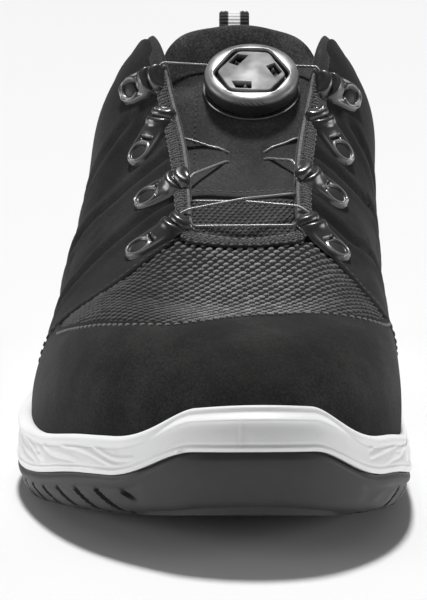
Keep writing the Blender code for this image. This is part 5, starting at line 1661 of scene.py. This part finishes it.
def make_dial():
    r = DIAL_RADIUS
    n = 144
    base = [(4.0, 0.0), (r - 3.4, 0.0), (r - 1.2, 0.42), (r - 0.1, 0.68), (r + 0.36, 0.84), (r + 0.56, 1.10), (r + 0.38, 1.42),
            (r - 0.25, 1.52), (r - 0.65, 1.56), (r - 0.9, 1.60), (r - 1.05, 1.75), (4.0, 1.75)]
    piece("dial_base", *turned_rows(base, n), SATIN, "guide_plastic", ["dial_housing"], sharp=35)
    # The knob: a plain wall, a shoulder with grip marks, a sloped crown, and a well with three long sides.
    n = 360
    angle = 2 * np.pi * np.arange(n) / n
    well = cut_triangle(angle, 9.75, 10.6)
    profile = np.array([(r - 1.1, 1.95), (r - 0.45, 2.05), (r - 0.30, 2.4), (r - 0.14, 3.4), (r, 5.1), (r + 0.0, 5.95), (r - 0.16, 6.7),
                        (r - 0.48, 7.25), (r - 0.9, 7.58), (r - 1.35, 7.76)])
    rows, pale = [], []
    for radius, height in open_curve(np.column_stack([profile, np.zeros(len(profile))]), np.linspace(0, 1, 30))[:, :2]:
        # Fine teeth round the wall at the back, and slanted grip marks on the shoulder over each long side.
        teeth = 0.18 * np.maximum(0, np.sin(angle * 84)) * bump(height, 4.6, 0.9) * smooth_step(-0.75, -0.45, np.sin(angle))
        marks = np.zeros(n)
        for k in range(3):
            off = (angle - math.radians(-90 + 120 * k) + np.pi) % (2 * np.pi) - np.pi
            marks += np.maximum(0, np.cos((np.degrees(off) + 5.0 * (height - 6.6)) * 2 * np.pi / 6.6)) ** 2 * (np.abs(np.degrees(off) + 5) < 20)
        marks = -0.34 * marks * bump(height, 6.55, 0.62)
        rows.append((radius + teeth + marks, height + 0 * angle))
        # Painted shade: paleness drops in the grip marks' grooves.
        pale.append(smooth_step(5.7, 7.3, height) * np.clip(1 + 2.4 * marks, 0, 1))
    crown = [(np.maximum(well + 0.95, r - 2.2), 7.85), (well + 0.60, 7.97), (well + 0.34, 7.93), (well + 0.14, 7.80), (well, 7.62), (well - 0.08, 7.2),
             (well - 0.12, 6.4), (well - 0.30, 5.6), (well - 0.9, 5.4), (np.full(n, 6.0), 5.4), (np.full(n, 2.0), 5.4)]
    rows += [(radius, height + 0 * angle) for radius, height in crown]
    # Painted shade: near black down inside the well under the plate.
    pale += [np.full(n, v) for v in (1.0, 1.0, 1.0, 1.0, 0.9, 0.2, 0.0, 0.0, 0.0, 0.0, 0.0)]
    piece("dial_knob_ring", *turned_rows(rows, n), KNOB, "guide_plastic", ["dial_knob"], sharp=40, values={"pale": np.concatenate(pale)})
    # The cover plate: cut back at its three short sides, with a window beside each long one.
    n, steps = 300, 46
    angle = 2 * np.pi * np.arange(n) / n
    edge = cut_triangle(angle + math.radians(4.0), 8.65, 9.4, 20)
    rows, dark = [], []
    for share, height in [(0.985, 5.5), (1.0, 5.6), (1.0, 7.60), (0.992, 7.77), (0.975, 7.85)] + [(q, 7.85) for q in np.linspace(0.955, 0.03, steps)]:
        radius = edge * share
        x, y = radius * np.cos(angle), radius * np.sin(angle)
        window, pin = np.zeros(n), np.zeros(n)
        for k in range(3):
            turn = math.radians(-93 + 120 * k)
            along, inward = -x * math.sin(turn) + y * math.cos(turn), x * math.cos(turn) + y * math.sin(turn)
            a = np.abs(along + 2.4 - 0.25 * (inward - 6.5)) - (2.6 - 0.18 * (inward - 6.5))
            b = np.abs(inward - 6.5) - 1.5
            window = np.maximum(window, 1 - smooth_step(-0.12, 0.12, np.maximum(a, b)))
            pin += 0.55 * np.exp(-((along + 1.6) / 0.55) ** 2 - ((inward - 6.5) / 0.55) ** 2)
        inside = share < 0.94
        z = height + (0.12 * (1 - share ** 2) - 1.90 * window + 3.3 * pin * window) * inside
        rows.append((radius, z))
        dark.append(window * inside * (1 - np.clip(2.2 * pin, 0, 1)))
    points, faces = turned_rows(rows, n)
    piece("dial_plate", points, faces, METAL, "dial_cover", ["dial_cap"], sharp=50, values={"dark": np.concatenate(dark)})
    # Ports that the wire leaves by.
    ports = Heap()
    for side in (-1, 1):
        start = dial_at(r - 1.8, math.pi / 2 - side * math.radians(PORT), 1.25)
        out = unit(dial_at(r + 1.8, math.pi / 2 - side * math.radians(PORT), 1.25) - start)
        ports.add(*tube(np.array([start + out * k for k in (0, 0.8, 1.6, 2.2, 2.5, 2.6)]), np.array([1.25, 1.25, 1.2, 1.1, 0.95, 0.7]), 16))
    heap_piece("dial_ports", ports, SATIN, "guide_plastic")


# ---------------------------------------------------------------- wire lace
def rounded(points, radius, steps=6):
    """A polyline with its corners rounded off."""
    points = [np.asarray(p, float) for p in points]
    made = [points[0]]
    for before, here, after in zip(points[:-2], points[1:-1], points[2:]):
        back, on_ = before - here, after - here
        reach = min(radius, 0.48 * np.linalg.norm(back), 0.48 * np.linalg.norm(on_))
        a, b = here + unit(back) * reach, here + unit(on_) * reach
        for k in np.linspace(0, 1, steps):
            made.append((1 - k) ** 2 * a + 2 * k * (1 - k) * here + k * k * b)
    made.append(points[-1])
    keep = [made[0]]
    for p in made[1:]:
        if np.linalg.norm(p - keep[-1]) > 0.05:
            keep.append(p)
    return np.array(keep)


def spread(points, spacing=0.8):
    run = np.concatenate([[0], np.cumsum(np.linalg.norm(np.diff(points, axis=0), axis=1))])
    at = np.linspace(0, run[-1], max(2, int(run[-1] / spacing)))
    return np.column_stack([np.interp(at, run, points[:, c]) for c in range(3)])


LACE_HIGH, LACE_MIDDLE = (6.79, 17.22), (7.38, 16.86)
LACE_LOW, LACE_FOOT, LACE_BAR = (8.02, 16.14), (8.34, 15.74), (8.92, 15.12)


def throat_point(s, inside, lift):
    return edge_place(np.array([s]), -inside, lift)[0]


def make_wire():
    """One wire from the dial through every guide and back: two crossings and a bar at the foot of the throat."""
    places = {name[11:]: GuidePlace(*ends) for name, *ends in GUIDES}

    def turn_in(name, first_to_toe):
        """Through a guide's rolls, in on one side and out on the other."""
        g, one = places[name], (1 if first_to_toe else -1)
        return [g.at(0.3, 2.6 * one, 2.6), g.at(2.6, 2.9 * one, 2.75), g.at(4.4, 1.2 * one, 2.8), g.at(4.4, -1.2 * one, 2.8),
                g.at(2.6, -2.9 * one, 2.75), g.at(0.3, -2.6 * one, 2.6)]

    def past(s, lift=2.4, inside=2.2):
        return [throat_point(s, inside, lift)]

    def under_trim(s, towards, low=-1.9):
        """Out from beneath the binding at section s, along inside it from a guide that lies towards another."""
        return [throat_point(s + 0.6 * (towards - s), 0.6, -0.9), throat_point(s + 0.15 * (towards - s), 1.1, -1.7), throat_point(s, 2.7, low)]

    def ends(side):
        side_name = "outer" if side < 0 else "inner"
        port = dial_at(DIAL_RADIUS + 0.4, math.pi / 2 - side * math.radians(PORT), 1.25)
        first = [port, throat_point(5.74 if side < 0 else 18.20, 1.8, 2.6)]
        g1, g2 = places[side_name + "_1"], places[side_name + "_2"]
        first += [g1.at(1.5, -2.2, 2.7), g1.at(4.6, 0.0, 2.8), g1.at(6.4, 2.6, 1.4), g1.at(6.6, 5.0, -0.6)]
        first += [g2.at(5.4, -5.0, -0.6), g2.at(5.0, -2.5, 2.0), g2.at(4.4, 1.2, 2.8), g2.at(2.6, 3.0, 2.5), g2.at(1.2, 3.6, 1.4)]
        return first

    def over_tongue(start, end):
        """Straight from one point to another, held off the tongue where it stands higher."""
        made = []
        for q in (0.2, 0.4, 0.6, 0.8):
            p = start + q * (end - start)
            p[2] = max(p[2], tongue_at(p[:1], p[1:2], 0.75)[0][2])
            made.append(p)
        return made

    def under_cover(top_outer):
        """Across the tongue beneath its cover, in through one slit and out of the other."""
        (xa, a_high, a_low), (xb, b_high, b_low) = SLITS
        da, db = (a_high, b_low) if top_outer else (a_low, b_high)
        one = throat_point(LACE_HIGH[0] if top_outer else LACE_MIDDLE[0], 2.7, -1.9)
        two = throat_point(LACE_MIDDLE[1] if top_outer else LACE_HIGH[1], 2.7, -1.9)
        row = [(xa - 0.3, da, 0.15), (xa + 1.1, da, -1.0), (0.5 * (xa + xb), 0.5 * (da + db), -1.6 if top_outer else -2.7), (xb - 1.1, db, -1.0), (xb + 0.3, db, 0.15)]
        made = [tongue_at(np.array([x]), np.array([d]), h)[0] for x, d, h in row]
        return over_tongue(one, made[0]) + made + over_tongue(made[-1], two)

    cross = 0.25 * sum(throat_point(s, 1.4, 2.2) for s in LACE_LOW + LACE_FOOT)
    route = ends(-1)
    route += under_trim(LACE_HIGH[0], 6.3) + under_cover(True) + under_trim(LACE_MIDDLE[1], 16.6)[::-1]
    route += turn_in("inner_3", False)
    route += under_trim(LACE_LOW[1], 16.60, 0.2) + [cross + np.array([0, 0, 1.25])] + past(LACE_FOOT[0])
    route += turn_in("outer_4", False)
    route += [throat_point(LACE_BAR[0], 1.6, 2.2), throat_point(LACE_BAR[1], 1.6, 2.2)]
    route += turn_in("inner_4", True)
    route += past(LACE_FOOT[1]) + [cross + np.array([0, 0, 0.40])] + under_trim(LACE_LOW[0], 7.52, 0.2)[::-1]
    route += turn_in("outer_3", True)
    route += under_trim(LACE_MIDDLE[0], 7.52) + under_cover(False) + under_trim(LACE_HIGH[1], 17.66)[::-1]
    route += ends(1)[::-1]
    line = spread(rounded(route, 1.6), 0.8)
    return piece("wire_lace", *tube(line, WIRE, 8), STEEL, "lace_wire",
                 ["lace_cross_upper", "lace_cross_lower", "lace_bar", "lace_dial_outer", "lace_dial_inner"])


# ---------------------------------------------------------------- heel loop
def make_loop(dark):
    """Webbing sewn to the back of the heel, over the collar and down inside."""
    line = open_curve(np.array([(0.0, d, z) for d, z in LOOP_LINE]), np.linspace(0, 1, 220))
    run = np.concatenate([[0], np.cumsum(np.linalg.norm(np.diff(line, axis=0), axis=1))])
    along = unit(np.gradient(line, axis=0))
    normal = np.cross(np.array([1.0, 0, 0]), along)
    x = np.linspace(-LOOP_WIDTH / 2, LOOP_WIDTH / 2, 37)
    thick = LOOP_THICK / 2 * np.sqrt(np.maximum(0.10, 1 - (np.abs(x) / (LOOP_WIDTH / 2 + 0.02)) ** 10))
    pick = np.sin(2 * np.pi * run / 1.15)[:, None]
    cord = 0.16 * np.maximum(0, np.cos(2 * np.pi * x / 1.42))[None, :] * (np.abs(x) > 2.0)
    flat = 0.02 * pick * np.sign(np.sin(2 * np.pi * x / 1.0))[None, :] * (np.abs(x) <= 2.0)
    ribs = cord * (1 + 0.5 * pick) + flat
    grid = line[:, None] + x[None, :, None] * np.array([1.0, 0, 0])
    top = grid + normal[:, None] * (thick[None, :] + ribs)[..., None]
    low = grid - normal[:, None] * (thick[None, :] + ribs)[..., None]
    uv = np.stack(np.broadcast_arrays(x[None, :], run[:, None]), -1).reshape(-1, 2)
    made = piece("pull_loop_webbing", *shell(top, low), WEBBING, "loop_webbing", ["pull_loop"], uv=np.concatenate([uv, uv]))
    # Cross stitching where the loop is sewn down.
    for d, z in ((289.75, 78.6), (288.9, 83.2)):
        points = np.column_stack([np.linspace(-4.4, 4.4, 24), np.full(24, d + 0.95), np.full(24, z)])
        stitch_row(dark, points, np.tile(np.array([0, 1.0, 0.2]), (24, 1)), 1.3, 0.5, 0.28, 0.05)
    return made


# ---------------------------------------------------------------- stage, light and camera
def make_stage():
    mesh = bpy.data.meshes.new("floor")
    mesh.from_pydata([(-6, -4, 0), (6, -4, 0), (6, 9, 0), (-6, 9, 0)], [], [(0, 1, 2, 3)])
    look = Look("floor_pale", 0.85, Specular_IOR_Level=0.2)
    look.colour(look.tones(look.noise(3.0, 2), [(0.3, (0.845, 0.845, 0.845)), (0.7, (0.855, 0.855, 0.855))]))
    mesh.materials.append(look.material)
    floor = bpy.data.objects.new("floor", mesh)
    bpy.context.scene.collection.objects.link(floor)

    def area(name, where, aim, size, power, size_y=None):
        light = bpy.data.lights.new(name, "AREA")
        light.shape, light.size, light.energy = "RECTANGLE", size, power
        light.size_y = size_y or size
        obj = bpy.data.objects.new(name, light)
        obj.location = where
        obj.rotation_euler = (Vector(aim) - Vector(where)).to_track_quat("-Z", "Y").to_euler()
        bpy.context.scene.collection.objects.link(obj)

    def sun(name, towards, power, spread):
        light = bpy.data.lights.new(name, "SUN")
        light.energy, light.angle = power, math.radians(spread)
        obj = bpy.data.objects.new(name, light)
        obj.rotation_euler = (-Vector(towards)).to_track_quat("-Z", "Y").to_euler()
        bpy.context.scene.collection.objects.link(obj)

    aim = (0.0, -0.02, 0.05)
    sun("light_key", (-0.02, 0.23, 1.0), 3.05, 9.0)
    area("light_left", (-1.7, -0.10, 0.30), aim, 1.0, 10.0, 0.5)
    area("light_right", (1.7, -0.05, 0.30), aim, 1.0, 8.3, 0.5)
    world = bpy.data.worlds.new("studio")
    world.use_nodes = True
    world.node_tree.nodes["Background"].inputs["Color"].default_value = (1, 1, 1, 1)
    world.node_tree.nodes["Background"].inputs["Strength"].default_value = 0.11
    bpy.context.scene.world = world
    bpy.context.scene.view_settings.view_transform = "Standard"
    bpy.context.scene.view_settings.look = "None"

    camera = bpy.data.cameras.new("camera")
    camera.sensor_width, camera.sensor_fit = 36.0, "AUTO"
    camera.lens = 208.2
    camera.clip_start, camera.clip_end = 0.05, 50.0
    eye = bpy.data.objects.new("camera", camera)
    target, tilt, reach = np.array([0.00045, -0.0815, 0.059]), math.radians(12.0), 0.960
    eye.location = target + reach * np.array([0, -math.cos(tilt), math.sin(tilt)])
    eye.rotation_euler = (math.radians(90) - tilt, 0, 0)
    bpy.context.scene.collection.objects.link(eye)
    bpy.context.scene.camera = eye


def main():
    stitches, dark = Heap(), Heap()
    make_stage()
    make_outsole()
    make_midsole()
    make_insole()
    make_lining()
    make_vamp()
    vamp_grains()
    make_toe_panel(stitches)
    make_quarter(-1, dark)
    make_quarter(1, dark)
    make_collar(dark)
    make_trim()
    make_tongue(stitches, dark)
    make_tongue_rows(stitches, dark)
    tongue_weave()
    for name, *ends in GUIDES:
        make_guide(name, *ends)
    make_dial()
    make_wire()
    make_loop(dark)
    heap_piece("stitches_grey", stitches, THREAD, "upper_textile")
    heap_piece("stitches_dark", dark, THREAD_DARK, "upper_textile")


main()
bpy.context.view_layer.update()
